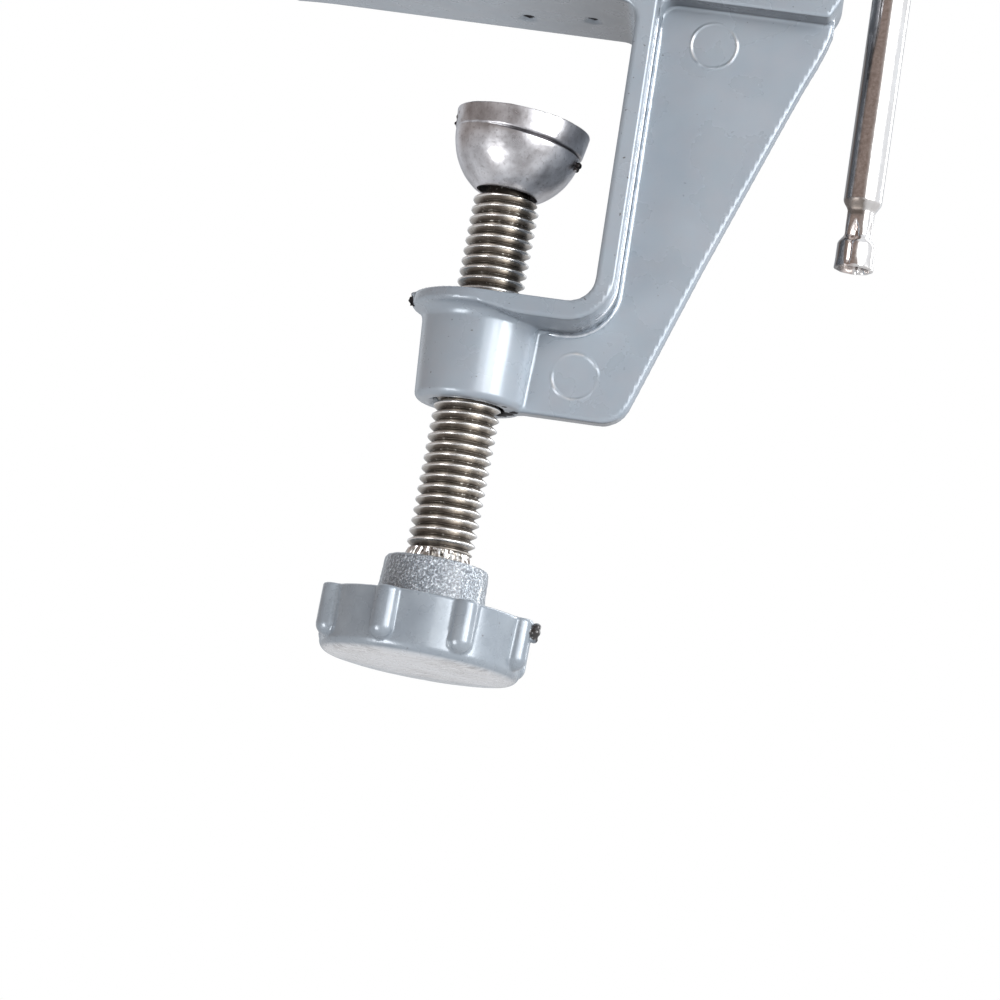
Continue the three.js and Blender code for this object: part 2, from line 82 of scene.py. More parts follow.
# Sizes of the casting that its box alone doesn't give, all in millimetres
ARM_HALF_W = 8.75
WEB_HALF_T = 1.3
KEEL_HALF_W = 4.4
KEEL_BOTTOM = 2.4
THROAT = 36.1
ARM_T = 2.4
UPPER_ARM_T = 4.0
POST_IN = 13.0
POST_OUT = 15.3
POST_CORNER_R = 5.5
ARM_FLAT_X = -29.0
REAR_BOTTOM = 12.0
RAIL = (9.0, 12.5)
RAIL_HALF_W = 9.0
FIXED_FACE = -10.5
FIXED_BACK = -24.0
ANVIL_HALF_W = 11.0
ANVIL_TOP = 27.0
STRIP_EDGE = 0.38
CASTING_STEP = 0.42
KEEL_SLOPE = 0.5
LIP_TIP = 8.35
LIP_T = 1.6
BOSS_R = 6.9
CLAMP_BORE_R = 4.12
LEAD_BORE_R = 4.6
BUSH_R = 6.4
BUSH_X = (-22.5, -10.45)
GRUB_X = -17

# Flaws of the casting, each a point and a radius: burrs, dents, and patches torn black; the last two
# patches sit in the dents and are painted shade
BURRS = [((-8.35, -1.0, -36.95), 0.5), ((-8.05, -2.0, -36.5), 0.42), ((-8.5, -1.3, -37.5), 0.3),
         ((3.4, 1.8, boss_bottom), 0.35), ((4.1, 1.3, boss_bottom - 0.05), 0.32),
         ((4.7, 0.6, boss_bottom), 0.28), ((12.95, -4.0, -6.5), 0.3), ((12.95, -3.0, -7.3), 0.22)]
DENTS = [((-0.5, 3.7, -0.6), 1.1), ((7.3, 1.4, -0.6), 1.1)]
SCARS_AND_DENT_SHADE = [((-8.5, -1.4, -37.0), 1.05), ((3.4, 2.4, boss_bottom), 1.0),
         ((4.1, 1.4, boss_bottom), 1.1), ((4.7, 0.4, boss_bottom), 0.9),
         ((5.4, -0.7, boss_bottom), 0.6), ((4.4, -2.9, boss_bottom), 0.35),
         ((-0.5, 3.7, 0.4), 0.75), ((7.3, 1.4, 0.4), 0.65)]

# Ejector-pin marks on the web: x, z and radius
PIN_RINGS = [(11.8, -43.4, 2.7), (22.1, -1.9, 2.7)]
RING_HALF_W = 0.26

# M8 thread of both screws
PITCH = 1.25
THREAD_R = 3.93
ROOT_R = 3.22

# Jaw plates, the sliding jaw and what holds it down
PLATE_T = 2.5
PLATE_HALF_W = 19.0
PLATE_Z = (25.6, 39.4)
PLATE_SCREW_Y = 12.0
PLATE_SCREW_Z = 32.5
GROOVE_STEP = 1.6
JAW_GAP = 2.5
SEAT_GAP = 0.02
SLIDE_FACE = FIXED_FACE + 2 * PLATE_T + JAW_GAP
FIXED_GRIP = FIXED_FACE + SEAT_GAP + PLATE_T
SLIDING_GRIP = SLIDE_FACE - SEAT_GAP - PLATE_T
SLIDE_HALF_W = 13.2
SLIDE_BACK = 30.5
SCREW_HOLE_R = 1.6
KEEPER_Z = (6.68, 8.68)
KEEPER_SCREW_X = (3.0, 24.0)
KEEPER_SCREW_Y = 11.2
SIDES = (("near", -1), ("far", 1))


# ---------------- distance functions

def length2(a, b):
    return np.sqrt(a * a + b * b)


def both(a, b, r=0.0):
    """Intersection with its edge rounded to radius r."""
    if r <= 0:
        return np.maximum(a, b)
    return np.minimum(np.maximum(a, b), -r) + length2(np.maximum(a + r, 0), np.maximum(b + r, 0))


def either(a, b, r=0.0):
    """Union with a concave fillet of radius r."""
    if r <= 0:
        return np.minimum(a, b)
    return np.maximum(np.minimum(a, b), r) - length2(np.maximum(r - a, 0), np.maximum(r - b, 0))


def without(a, b, r=0.0):
    """The first solid less the second, with the new edge rounded to radius r."""
    return both(a, -b, r)


def slab(v, low, high):
    return np.abs(v - (low + high) / 2) - (high - low) / 2


def block(p, x, y, z, r=0.5):
    flat = both(slab(p[..., 0], *x), slab(p[..., 1], *y), r)
    return both(flat, slab(p[..., 2], *z), r)


def disc(u, v, cu, cv, radius):
    return length2(u - cu, v - cv) - radius


def outline(u, v, points):
    """Signed distance to a closed polygon in the plane of u and v."""
    pts = np.asarray(points, float)
    best = np.full(u.shape, np.inf)
    inside = np.zeros(u.shape, bool)
    for (ax, ay), (bx, by) in zip(pts, np.roll(pts, -1, axis=0)):
        ex, ey = bx - ax, by - ay
        wx, wy = u - ax, v - ay
        t = np.clip((wx * ex + wy * ey) / (ex * ex + ey * ey), 0, 1)
        best = np.minimum(best, (wx - ex * t) ** 2 + (wy - ey * t) ** 2)
        if ay != by:
            crosses = (ay > v) != (by > v)
            inside ^= crosses & (u < ax + (v - ay) * ex / ey)
    return np.sqrt(best) * np.where(inside, -1, 1)


def arc(cx, cy, r, start, end, steps=8):
    angles = np.radians(np.linspace(start, end, steps + 1))
    return [(cx + r * math.cos(a), cy + r * math.sin(a)) for a in angles]


# ---------------- meshes

def new_piece(name, vertices, faces, material, normals=None):
    """A smooth-shaded mesh object; vertices are in millimetres, faces hold vertex numbers."""
    mesh = bpy.data.meshes.new(name)
    vertices = np.asarray(vertices, np.float64) * MM
    mesh.vertices.add(len(vertices))
    mesh.vertices.foreach_set("co", vertices.astype(np.float32).ravel())
    sizes = np.array([len(face) for face in faces])
    starts = np.concatenate([[0], np.cumsum(sizes)[:-1]])
    mesh.loops.add(int(sizes.sum()))
    mesh.loops.foreach_set("vertex_index", np.concatenate(faces).astype(np.int32))
    mesh.polygons.add(len(sizes))
    mesh.polygons.foreach_set("loop_start", starts.astype(np.int32))
    mesh.update(calc_edges=True)
    mesh.validate()
    mesh.polygons.foreach_set("use_smooth", np.full(len(mesh.polygons), True))
    if normals is not None:
        mesh.normals_split_custom_set_from_vertices(normals.tolist())
    mesh.materials.append(material)
    piece = bpy.data.objects.new(name, mesh)
    bpy.context.scene.collection.objects.link(piece)
    return piece


BLOCK = 8
BATCH = 400
MARGIN = 2.5
SETTLE_PASSES = 3

# The twelve edges of a grid cell, as pairs of corners
EDGES = [((0, 0, 0), (1, 0, 0)), ((0, 1, 0), (1, 1, 0)), ((0, 0, 1), (1, 0, 1)), ((0, 1, 1), (1, 1, 1)),
         ((0, 0, 0), (0, 1, 0)), ((1, 0, 0), (1, 1, 0)), ((0, 0, 1), (0, 1, 1)), ((1, 0, 1), (1, 1, 1)),
         ((0, 0, 0), (0, 0, 1)), ((1, 0, 0), (1, 0, 1)), ((0, 1, 0), (0, 1, 1)), ((1, 1, 0), (1, 1, 1))]


def lattice(*counts):
    """All whole-number points of a box, one a row."""
    return np.stack(np.meshgrid(*[np.arange(n) for n in counts], indexing="ij"), -1).reshape(-1, 3)


def sampled(distance, low, counts, step):
    """The distance at the grid's points, worked out only in blocks that the surface may cross."""
    blocks = [math.ceil((n - 1) / BLOCK) for n in counts]
    grid = np.empty([b * BLOCK + 1 for b in blocks], np.float32)
    origins = lattice(*blocks) * BLOCK
    at_centre = distance(low + (origins + BLOCK / 2) * step)
    reach = BLOCK * step * 0.95
    side = BLOCK + 1
    local = lattice(side, side, side)
    for (i, j, k), d in zip(origins, at_centre):
        grid[i:i + side, j:j + side, k:k + side] = d
    near = origins[np.abs(at_centre) < reach]
    for start in range(0, len(near), BATCH):
        part = near[start:start + BATCH]
        points = low + (part[:, None, :] + local[None]) * step
        values = distance(points).reshape(-1, side, side, side)
        for (i, j, k), v in zip(part, values):
            grid[i:i + side, j:j + side, k:k + side] = v
    return grid


def surface_nets(grid):
    """Vertices in grid units and quads of the zero level."""
    inside = grid < 0
    nx, ny, nz = np.array(inside.shape) - 1
    corners = [inside[i:nx + i, j:ny + j, k:nz + k] for i, j, k in lattice(2, 2, 2)]
    total = sum(c.astype(np.int8) for c in corners)
    mixed = (total > 0) & (total < 8)
    cells = np.argwhere(mixed)
    ids = np.full(mixed.shape, -1, np.int64)
    ids[mixed] = np.arange(len(cells))
    total_at = np.zeros((len(cells), 3))
    hits = np.zeros(len(cells))
    for a, b in EDGES:
        pa, pb = cells + a, cells + b
        va, vb = grid[tuple(pa.T)], grid[tuple(pb.T)]
        crosses = (va < 0) != (vb < 0)
        t = np.where(crosses, va / np.where(crosses, va - vb, 1), 0)[:, None]
        total_at += np.where(crosses[:, None], np.array(a) + (np.array(b) - a) * t, 0)
        hits += crosses
    vertices = cells + total_at / hits[:, None]
    quads = []
    for axis in range(3):
        u, v = (axis + 1) % 3, (axis + 2) % 3
        first = [slice(None)] * 3
        second = [slice(None)] * 3
        first[axis], second[axis] = slice(0, -1), slice(1, None)
        change = inside[tuple(first)] != inside[tuple(second)]
        at = np.argwhere(change)
        at = at[(at[:, u] > 0) & (at[:, v] > 0) & (at[:, u] < ids.shape[u]) & (at[:, v] < ids.shape[v])]
        unit_u, unit_v = np.eye(3, dtype=int)[[u, v]]
        ring = [at - unit_u - unit_v, at - unit_v, at, at - unit_u]
        quad = np.stack([ids[tuple(r.T)] for r in ring], 1)
        leaving = inside[tuple(at.T)]
        quad[~leaving] = quad[~leaving][:, ::-1]
        quads.append(quad)
    return vertices, np.concatenate(quads)


def gradient(distance, points, eps=0.02):
    """Unit normals of the distance's level surfaces at the points."""
    grad = np.empty(points.shape)
    for axis in range(3):
        shift = np.zeros(3)
        shift[axis] = eps
        grad[:, axis] = distance(points + shift) - distance(points - shift)
    return grad / np.maximum(np.linalg.norm(grad, axis=1), 1e-9)[:, None]


def cast_piece(name, distance, low, high, step, material, rough=None):
    """A solid given by its distance function: surface nets, moved onto the exact surface.

    rough(points) may lift the surface along its normal, in millimetres."""
    low = low - MARGIN * step
    counts = np.ceil((high + MARGIN * step - low) / step).astype(int) + 1
    vertices, quads = surface_nets(sampled(distance, low, counts, step))
    points = low + vertices * step
    for _ in range(SETTLE_PASSES):
        move = np.clip(distance(points), -step, step)[:, None] * gradient(distance, points)
        points -= 0.9 * move
    normals = gradient(distance, points, 0.05)
    if rough is not None:
        points = points + normals * rough(points)[:, None]
        return new_piece(name, points, quads, material)
    return new_piece(name, points, quads, material, normals)


def ring_grid(rings):
    """Vertices of a stack of rings, the quads between them, and the face that closes each end."""
    count, segments = rings.shape[:2]
    around = np.arange(segments)
    starts = np.arange(count - 1)[:, None] * segments
    a, b = starts + around, starts + (around + 1) % segments
    quads = np.stack([a, b, b + segments, a + segments], -1).reshape(-1, 4)
    return rings.reshape(-1, 3), quads, [around[::-1], (count - 1) * segments + around]


def turned_rings(profile, segments, radius=None):
    """Rings about +Z of a profile of (radius, height); radius(r, z, angle) may reshape them."""
    angles = np.linspace(0, 2 * math.pi, segments, endpoint=False)[None, :]
    r, z = (np.repeat(column[:, None], segments, 1) for column in np.array(profile, float).T)
    if radius is not None:
        r = radius(r, z, angles)
    return np.stack([r * np.cos(angles), r * np.sin(angles), z], -1)


def lathe(name, profile, material, segments, place, radius, sharp_deg):
    """A turned piece, smooth except across edges sharper than the angle.

    place is a 4x4 matrix in millimetres that takes the profile's +Z to the row frame."""
    vertices, quads, ends = ring_grid(turned_rings(profile, segments, radius))
    vertices = vertices @ place[:3, :3].T + place[:3, 3]
    piece = new_piece(name, vertices, [*quads, *ends], material)
    piece.data.set_sharp_from_angle(angle=math.radians(sharp_deg))
    return piece


def rounded_profile(points, radius, steps=5):
    """The profile with each inner corner replaced by an arc-like curve of about the radius."""
    pts = [np.array(p, float) for p in points]
    out = [pts[0]]
    for before, at, after in zip(pts, pts[1:], pts[2:]):
        to_before, to_after = before - at, after - at
        reach = min(radius, np.linalg.norm(to_before) * 0.45, np.linalg.norm(to_after) * 0.45)
        a = at + to_before / np.linalg.norm(to_before) * reach
        b = at + to_after / np.linalg.norm(to_after) * reach
        for t in np.linspace(0, 1, steps + 1):
            out.append((1 - t) ** 2 * a + 2 * t * (1 - t) * at + t * t * b)
    out.append(pts[-1])
    return out


def finish_piece(piece, body, slot, *nodes):
    """The body it rides on and the CAD nodes it stands for; slot, the record's finish, is not used."""
    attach(piece, body)
    if nodes:
        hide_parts(*nodes)


# ---------------- materials

def metres(point):
    return tuple(v * MM for v in point)


class Nodes:
    """A short way to write a node material."""

    def __init__(self, name, color, roughness, metallic, **sockets):
        self.material = bpy.data.materials.new(name)
        self.material.use_nodes = True
        self.tree = self.material.node_tree
        self.shader = self.tree.nodes["Principled BSDF"]
        self.shader.inputs["Base Color"].default_value = (*color, 1)
        self.shader.inputs["Roughness"].default_value = roughness
        self.shader.inputs["Metallic"].default_value = metallic
        for socket, value in sockets.items():
            self.shader.inputs[socket.replace("_", " ")].default_value = value
        self.coords = self.tree.nodes.new("ShaderNodeTexCoord").outputs["Object"]

    def node(self, kind, **inputs):
        node = self.tree.nodes.new("ShaderNode" + kind)
        for name, value in inputs.items():
            self.put(node.inputs[name.replace("_", " ")], value)
        return node

    def put(self, socket, value):
        if isinstance(value, bpy.types.NodeSocket):
            self.tree.links.new(value, socket)
        else:
            socket.default_value = value

    def scaled(self, x, y, z):
        mapping = self.node("Mapping", Vector=self.coords)
        mapping.inputs["Scale"].default_value = (x, y, z)
        return mapping.outputs["Vector"]

    def noise(self, size_mm, detail=4, roughness=0.5, vector=None):
        return self.node("TexNoise", Vector=vector or self.coords, Scale=1 / (size_mm * MM),
                         Detail=detail, Roughness=roughness).outputs["Fac"]

    def ramp(self, fac, *stops):
        """Stops are (position, value or colour)."""
        node = self.node("ValToRGB", Fac=fac)
        ramp = node.color_ramp
        while len(ramp.elements) < len(stops):
            ramp.elements.new(0.5)
        for element, (position, value) in zip(ramp.elements, stops):
            element.position = position
            element.color = (*value, 1) if isinstance(value, tuple) else (value, value, value, 1)
        return node.outputs["Color"]

    def math(self, operation, a, b=0.0, c=0.0):
        node = self.tree.nodes.new("ShaderNodeMath")
        node.operation = operation
        for socket, value in zip(node.inputs, (a, b, c)):
            self.put(socket, value)
        return node.outputs["Value"]

    def mix(self, fac, a, b):
        """Colour a where fac is 0 and b where it is 1."""
        node = self.tree.nodes.new("ShaderNodeMix")
        node.data_type = "RGBA"
        for socket, value in zip([node.inputs[0], node.inputs[6], node.inputs[7]], (fac, a, b)):
            if isinstance(value, tuple):
                value = (*value, 1)
            self.put(socket, value)
        return node.outputs[2]

    def spread(self, pattern, start, end, a, b, most=1.0):
        """Colour a where the pattern is below start, going over to b by its value at end."""
        return self.mix(self.ramp(pattern, (start, 0.0), (end, most)), a, b)

    def vector(self, operation, a, b=None, output="Vector", scale=None):
        node = self.tree.nodes.new("ShaderNodeVectorMath")
        node.operation = operation
        self.put(node.inputs[0], a)
        if b is not None:
            self.put(node.inputs[1], b)
        if scale is not None:
            self.put(node.inputs["Scale"], scale)
        return node.outputs[output]

    def map(self, value, low, high):
        """The value as 0 at low and 1 at high, and clamped between."""
        node = self.node("MapRange", Value=value)
        node.inputs["From Min"].default_value = low
        node.inputs["From Max"].default_value = high
        return node.outputs["Result"]

    def turned(self, angles, scale):
        """The coordinates turned, then scaled, so that a noise runs in streaks."""
        turn = self.node("Mapping", Vector=self.coords)
        turn.inputs["Rotation"].default_value = angles
        stretch = self.node("Mapping", Vector=turn.outputs["Vector"])
        stretch.inputs["Scale"].default_value = scale
        return stretch.outputs["Vector"]

    def axis(self, name):
        return self.node("SeparateXYZ", Vector=self.coords).outputs[name]

    def offset(self, point):
        """The vector from a point in millimetres."""
        return self.vector("SUBTRACT", self.coords, metres(point))

    def along(self, point, axis):
        """How far the surface lies from a point in the axis's direction."""
        return self.vector("DOT_PRODUCT", self.offset(point), tuple(axis), "Value")

    def patch(self, point, ragged, outer, inner):
        """1 in a patch with a ragged edge about the point, and 0 outside."""
        away = self.vector("DISTANCE", self.coords, metres(point), "Value")
        edge = self.math("MULTIPLY_ADD", self.noise(0.5, 3), ragged * MM, away)
        return self.map(edge, outer * MM, inner * MM)

    def bump(self, height, strength, distance_mm, normal=None):
        node = self.node("Bump", Height=height, Strength=strength, Distance=distance_mm * MM)
        if normal is not None:
            self.put(node.inputs["Normal"], normal)
        return node.outputs["Normal"]

    def shade(self, **sockets):
        for name, value in sockets.items():
            self.put(self.shader.inputs[name.replace("_", " ")], value)
        return self.material


def cast_paint(name, rings=(), scars_and_dent_shade=()):
    """Satin blue-grey paint over a die casting, with ejector-pin rings, patches torn black, painted shade
    on faces that look down and in two dents, and the lower arm's outer faces darker towards the bottom.
    """
    n = Nodes(name, (0.36, 0.41, 0.46), 0.26, 0.22, Coat_Weight=0.4, Coat_Roughness=0.12)
    cloud = n.noise(14, 3, 0.6)
    smudge = n.noise(3.1, 5, 0.65)
    specks = n.noise(0.33, 0)
    color = n.spread(cloud, 0.3, 0.7, (0.305, 0.355, 0.407), (0.352, 0.40, 0.448))
    color = n.spread(smudge, 0.40, 0.85, color, (0.40, 0.37, 0.39), most=0.3)
    color = n.spread(specks, 0.83, 0.86, color, (0.10, 0.09, 0.09), most=0.8)
    x, z = n.axis("X"), n.axis("Z")
    # Painted shade: faces that look down are darkened, more so towards the post.
    facing = n.node("NewGeometry").outputs["Normal"]
    down = n.map(n.vector("DOT_PRODUCT", facing, (0, 0, -1), "Value"), 0.72, 0.97)
    underside_shade = n.math("MULTIPLY", down, n.map(x, -4 * MM, 13 * MM))
    color = n.mix(n.math("MULTIPLY", underside_shade, 0.85), color, (0.115, 0.118, 0.13))
    # The outer faces of the lower arm darken towards its bottom.
    outer = n.map(n.math("ABSOLUTE", n.axis("Y")), 5 * MM, 8 * MM)
    lower_arm_darkening = n.math("MULTIPLY", outer, n.map(z, -34 * MM, -36.5 * MM))
    color = n.mix(n.math("MULTIPLY", lower_arm_darkening, 0.22), color, (0.13, 0.15, 0.18))
    rough = n.ramp(n.noise(5.5, 4), (0.3, 0.23), (0.7, 0.34))
    normal = n.bump(n.noise(0.9, 3), 0.10, 0.05)
    normal = n.bump(n.noise(6.0, 2), 0.18, 0.12, normal)
    for centre_x, centre_z, radius in rings:
        across = n.math("SUBTRACT", x, centre_x * MM)
        up = n.math("SUBTRACT", z, centre_z * MM)
        squares = n.math("ADD", n.math("MULTIPLY", across, across), n.math("MULTIPLY", up, up))
        from_ring = n.math("ABSOLUTE", n.math("SUBTRACT", n.math("SQRT", squares), radius * MM))
        ridge = n.ramp(n.math("DIVIDE", from_ring, RING_HALF_W * MM), (0.0, 1.0), (1.0, 0.0))
        worn = n.math("MULTIPLY", ridge, n.ramp(n.noise(3.6, 1), (0.40, 0.1), (0.56, 1.0)))
        normal = n.bump(worn, 1.0, 0.14, normal)
        bare = n.math("MULTIPLY", worn, n.ramp(n.noise(2.2, 3), (0.48, 0.1), (0.60, 0.8)))
        color = n.mix(bare, color, (0.62, 0.60, 0.59))
    # Black patches: torn scars, and painted shade in the two dents.
    torn = n.math("ADD", 0.0)
    for point, radius in scars_and_dent_shade:
        torn = n.math("MAXIMUM", torn, n.patch(point, 0.9 * radius, 1.45 * radius, 1.25 * radius))
    color = n.mix(torn, color, (0.012, 0.010, 0.012))
    rough = n.math("MULTIPLY_ADD", torn, 0.5, rough)
    coat = n.math("MULTIPLY_ADD", torn, -0.4, 0.4)
    return n.shade(Base_Color=color, Roughness=rough, Coat_Weight=coat, Normal=normal)


# ---------------- frame casting

def strip_outline():
    """The C strip seen from the side: upper arm, post and lower arm."""
    low = -THROAT
    return [
        (ARM_FLAT_X, 0), *arc(POST_IN - 2, -2, 2, 90, 0), *arc(POST_IN - 3, low + 3, 3, 0, -90),
        (0, low), (0, low - LIP_T), (4.5, low - ARM_T),
        *arc(POST_OUT - POST_CORNER_R, low - ARM_T + POST_CORNER_R, POST_CORNER_R, -90, 0),
        (POST_OUT, UPPER_ARM_T), (ARM_FLAT_X, UPPER_ARM_T),
    ]


def web_outline():
    """The web seen from the side: its rounded foot, then up the slanting outer edge to the keel."""
    return [
        (1, -THROAT - 1), (1, boss_bottom + 0.1), *arc(15.2, boss_bottom + 3.6, 3.5, -90, -20),
        (24.4, -28.95), (31.5, -9.7), (33.2, -5.2), (34.3, -2.6), (35.1, -0.4), (35.6, 1.4),
        (front_x - 0.3, 3.1), (POST_IN + 1, 3.1), (POST_IN + 1, -THROAT - 1),
    ]


def leaning(p):
    """The point's place along the clamp axis from its pivot, and its distance from the axis."""
    d = p - CLAMP_PIVOT
    along = d @ CLAMP_AXIS
    return along, np.linalg.norm(d - along[..., None] * CLAMP_AXIS, axis=-1)


def clamp_arm(x, y, z, side):
    """C strip, round lip and boss at its lower end, and the web behind it."""
    top = -THROAT
    strip = both(outline(x, z, strip_outline()), side - ARM_HALF_W, STRIP_EDGE)
    lip_rho = length2(np.where(x < 0, x * ARM_HALF_W / LIP_TIP, x), y)
    lip = both((lip_rho - ARM_HALF_W) * 0.95, slab(z, top - LIP_T, top), 0.45)
    taper = BOSS_R + (z - (top - ARM_T)) * 0.05
    boss = both((length2(x, y) - taper) * 0.998, slab(z, boss_bottom, top - 1), 0.8)
    web = both(outline(x, z, web_outline()) - 0.12, side - WEB_HALF_T, 0.5)
    body = np.minimum(either(lip, boss, 1.5), either(strip, boss, 0.6))
    return either(body, web, 0.42)


def keel_and_rail(p, side):
    """The rail, the keel under it with its sloped front end, and the fillet from keel to post."""
    x, z = p[..., 0], p[..., 2]
    corner = both(either(x - POST_OUT, KEEL_BOTTOM - z, 2.2), slab(x, POST_IN + 1, POST_OUT + 3))
    corner = both(corner, slab(z, KEEL_BOTTOM - 3, KEEL_BOTTOM + 1))
    corner = both(corner, side - KEEL_HALF_W, STRIP_EDGE)
    keel = block(p, (FIXED_FACE - 1, front_x + 0.4), (-KEEL_HALF_W, KEEL_HALF_W),
                 (KEEL_BOTTOM, RAIL[1] - 1), STRIP_EDGE)
    sloped_end = (x - front_x + 0.8 - KEEL_SLOPE * (z - KEEL_BOTTOM)) / math.hypot(1, KEEL_SLOPE)
    keel = both(keel, sloped_end, STRIP_EDGE)
    rail = block(p, (FIXED_FACE - 1, front_x), (-RAIL_HALF_W, RAIL_HALF_W), RAIL, 0.5)
    return either(np.minimum(keel, corner), rail, 0.4)


def frame_casting(p):
    x, y, z = p[..., 0], p[..., 1], p[..., 2]
    side = np.abs(y)
    body = either(clamp_arm(x, y, z, side), keel_and_rail(p, side), 0.45)
    body = either(body, jaw_and_anvil(x, side, z), 1.2)
    body = np.maximum(body, casting_limits(x, side, z))
    for place, radius in BURRS:
        body = either(body, np.linalg.norm((p - place) * (1, 1, 1.25), axis=-1) - radius, 0.12)
    along, off = leaning(p)
    bore = both(off - CLAMP_BORE_R, slab(along, -9, 16))
    mouth = off - CLAMP_BORE_R - np.maximum(0, -along - 2.0) * 0.9
    body = without(body, np.minimum(bore, both(mouth, slab(along, -9, -1))), 0.15)
    lead = length2(y, z - LEAD_Z)
    body = without(body, both(lead - LEAD_BORE_R, x - 30), 0.5)
    body = without(body, both(lead - BUSH_R - 0.05, slab(x, BUSH_X[0] - 0.05, 30)), 0.2)
    grub_hole = both(length2(x - GRUB_X, z - LEAD_Z) - 1.55, -y + 5)
    body = without(body, grub_hole, 0.3)
    for place, radius in DENTS:
        body = without(body, np.linalg.norm(p - place, axis=-1) - radius, 0.4)
    return body


def jaw_outline(lowest):
    """Half of the fixed jaw seen along the rails, down to the lowest height."""
    return [
        (-5, lowest), (ARM_HALF_W, lowest), (ARM_HALF_W, 9.5), (ARM_HALF_W + 2.5, 13),
        (jaw_half_w - 2, 19), (jaw_half_w, 22), (jaw_half_w, jaw_top), (-5, jaw_top)]


def casting_limits(x, side, z):
    """The flat faces that fillets between flush parts must not swell past."""
    flanks = np.minimum(outline(side, z, jaw_outline(boss_bottom - 5)), FIXED_FACE - x)
    ends = np.maximum(rear_x - x, x - front_x - 0.4)
    return np.maximum(np.maximum(flanks, z - jaw_top), ends)


def jaw_and_anvil(x, side, z):
    jaw = both(outline(side, z, jaw_outline(UPPER_ARM_T - 1)), slab(x, FIXED_BACK, FIXED_FACE), 1.0)
    slope = (FIXED_BACK - x) * 0.857 + (z - 30.6) * 0.515
    jaw = both(jaw, slope, 1.2)
    anvil_section = outline(side, z, [
        (-5, -8), (ARM_HALF_W, -8), (ARM_HALF_W, 12), (ANVIL_HALF_W, 19.5),
        (ANVIL_HALF_W, ANVIL_TOP), (-5, ANVIL_TOP)])
    anvil = both(anvil_section, slab(x, rear_x, FIXED_BACK + 3), 1.0)
    rise = outline(x, z, [
        (ARM_FLAT_X, 0.2), (rear_x - 2, REAR_BOTTOM + 1.4), (rear_x - 2, ANVIL_TOP + 5),
        (FIXED_BACK + 5, ANVIL_TOP + 5), (FIXED_BACK + 5, 2)])
    return either(jaw, both(anvil, rise, 1.0), 1.5)


def highlight_line_paint():
    """Bright metallic paint for the raised lines along the post: a painted highlight on its edge and
    fillet.
    """
    n = Nodes("highlight_line_paint", (0.62, 0.66, 0.71), 0.22, 0.75)
    color = n.spread(n.noise(0.9, 4), 0.3, 0.62, (0.44, 0.49, 0.54), (0.74, 0.78, 0.83))
    return n.shade(Base_Color=color, Normal=n.bump(n.noise(0.6, 3), 0.15, 0.03))


BEAD_SIDES = 16


def raised_line(name, y, radius, rise, arc_deg, run, material):
    """A line raised down the outside of the post, round its corner by an arc, and on by a run.

    rise is how far its centre stands off the strip; both its ends taper."""
    turn_z = -THROAT - ARM_T + POST_CORNER_R
    turn_x = POST_OUT - POST_CORNER_R
    path = [(POST_OUT + rise, z, 1, 0) for z in np.linspace(KEEL_BOTTOM - 1.6, turn_z, 24)]
    for angle in np.radians(np.linspace(0, -arc_deg, 19)[1:]):
        c, s = math.cos(angle), math.sin(angle)
        path.append((turn_x + (POST_CORNER_R + rise) * c, turn_z + (POST_CORNER_R + rise) * s, c, s))
    x_end, z_end = path[-1][:2]
    path += [(x_end - run * t, z_end, 0, -1) for t in np.linspace(0.2, 1, 5) if run > 0]
    around = np.linspace(0, 2 * math.pi, BEAD_SIDES, endpoint=False)[:, None]
    rings = []
    for i, (x, z, nx, nz) in enumerate(path):
        r = radius * min(1, (i + 0.3) / 2, (len(path) - 0.7 - i) / 3)
        rings.append(np.array((x, y, z)) + r * (np.cos(around) * (nx, 0, nz) + np.sin(around) * (0, 1, 0)))
    vertices, quads, ends = ring_grid(np.array(rings))
    piece = new_piece(name, vertices, [*quads, *ends], material)
    finish_piece(piece, "frame", "cast_paint")


def build_frame():
    paint = cast_paint("frame_paint", PIN_RINGS, SCARS_AND_DENT_SHADE)
    highlight_paint = highlight_line_paint()
    # The raised lines take the bright paint, a painted highlight along the post.
    for end, sign in SIDES:
        raised_line("parting_line_" + end, 4.9 * sign, 0.18, 0.05, 50, 0, highlight_paint)
        raised_line("web_line_" + end, (WEB_HALF_T + 0.15) * sign, 0.27, 0.36, 90, 2.0, highlight_paint)
    casting = cast_piece("vise_casting", frame_casting, frame_low, frame_high, CASTING_STEP, paint)
    finish_piece(casting, "frame", "cast_paint", "frame_casting")


# ---------------- clamp screw, knob and pad

HUB_TOP = -21.2
HUB_BOTTOM = -26.3
KNOB_BOTTOM = -33.4
KNOB_R = 11.9
RIBS = 8
RIB_TURN = math.radians(-63.5)
SHOULDER = 22.6
BALL_ALONG = 27.0
KNURL_H = 1.3
KNURL_TEETH = 29
SCREW_SIDES = 112
THREAD_PHASE = -0.15
RIB_R = 1.45
RIB_LOW = HUB_BOTTOM - 4.65
PAD_LEAN = math.radians(2.6)

# A torn tab of flash on one rib of the knob, in the clamp screw's own axes
FLASH_LUMPS = [((12.85, -3.9, -27.6), 0.65), ((12.95, -3.8, -26.95), 0.5), ((12.85, -3.7, -28.4), 0.5)]


def clamp_frame(p):
    """Points in the clamp screw's own axes."""
    return (p - CLAMP_PIVOT) @ CLAMP_TURN


def turn_y(angle):
    c, s = math.cos(angle), math.sin(angle)
    return np.array([(c, 0, s), (0, 1, 0), (-s, 0, c)])


CLAMP_TURN = turn_y(LEAN)
PAD_TURN = turn_y(LEAN + PAD_LEAN)
CLAMP_PLACE = np.eye(4)
CLAMP_PLACE[:3, :3] = CLAMP_TURN
CLAMP_PLACE[:3, 3] = CLAMP_PIVOT


def thread_wave(phase):
    """Height of the thread from 0 at its root to 1 at its crest, with narrow flats on both."""
    t = np.abs((phase % 1.0) - 0.5) * 2
    return np.clip((t - 0.10) / 0.78, 0, 1)


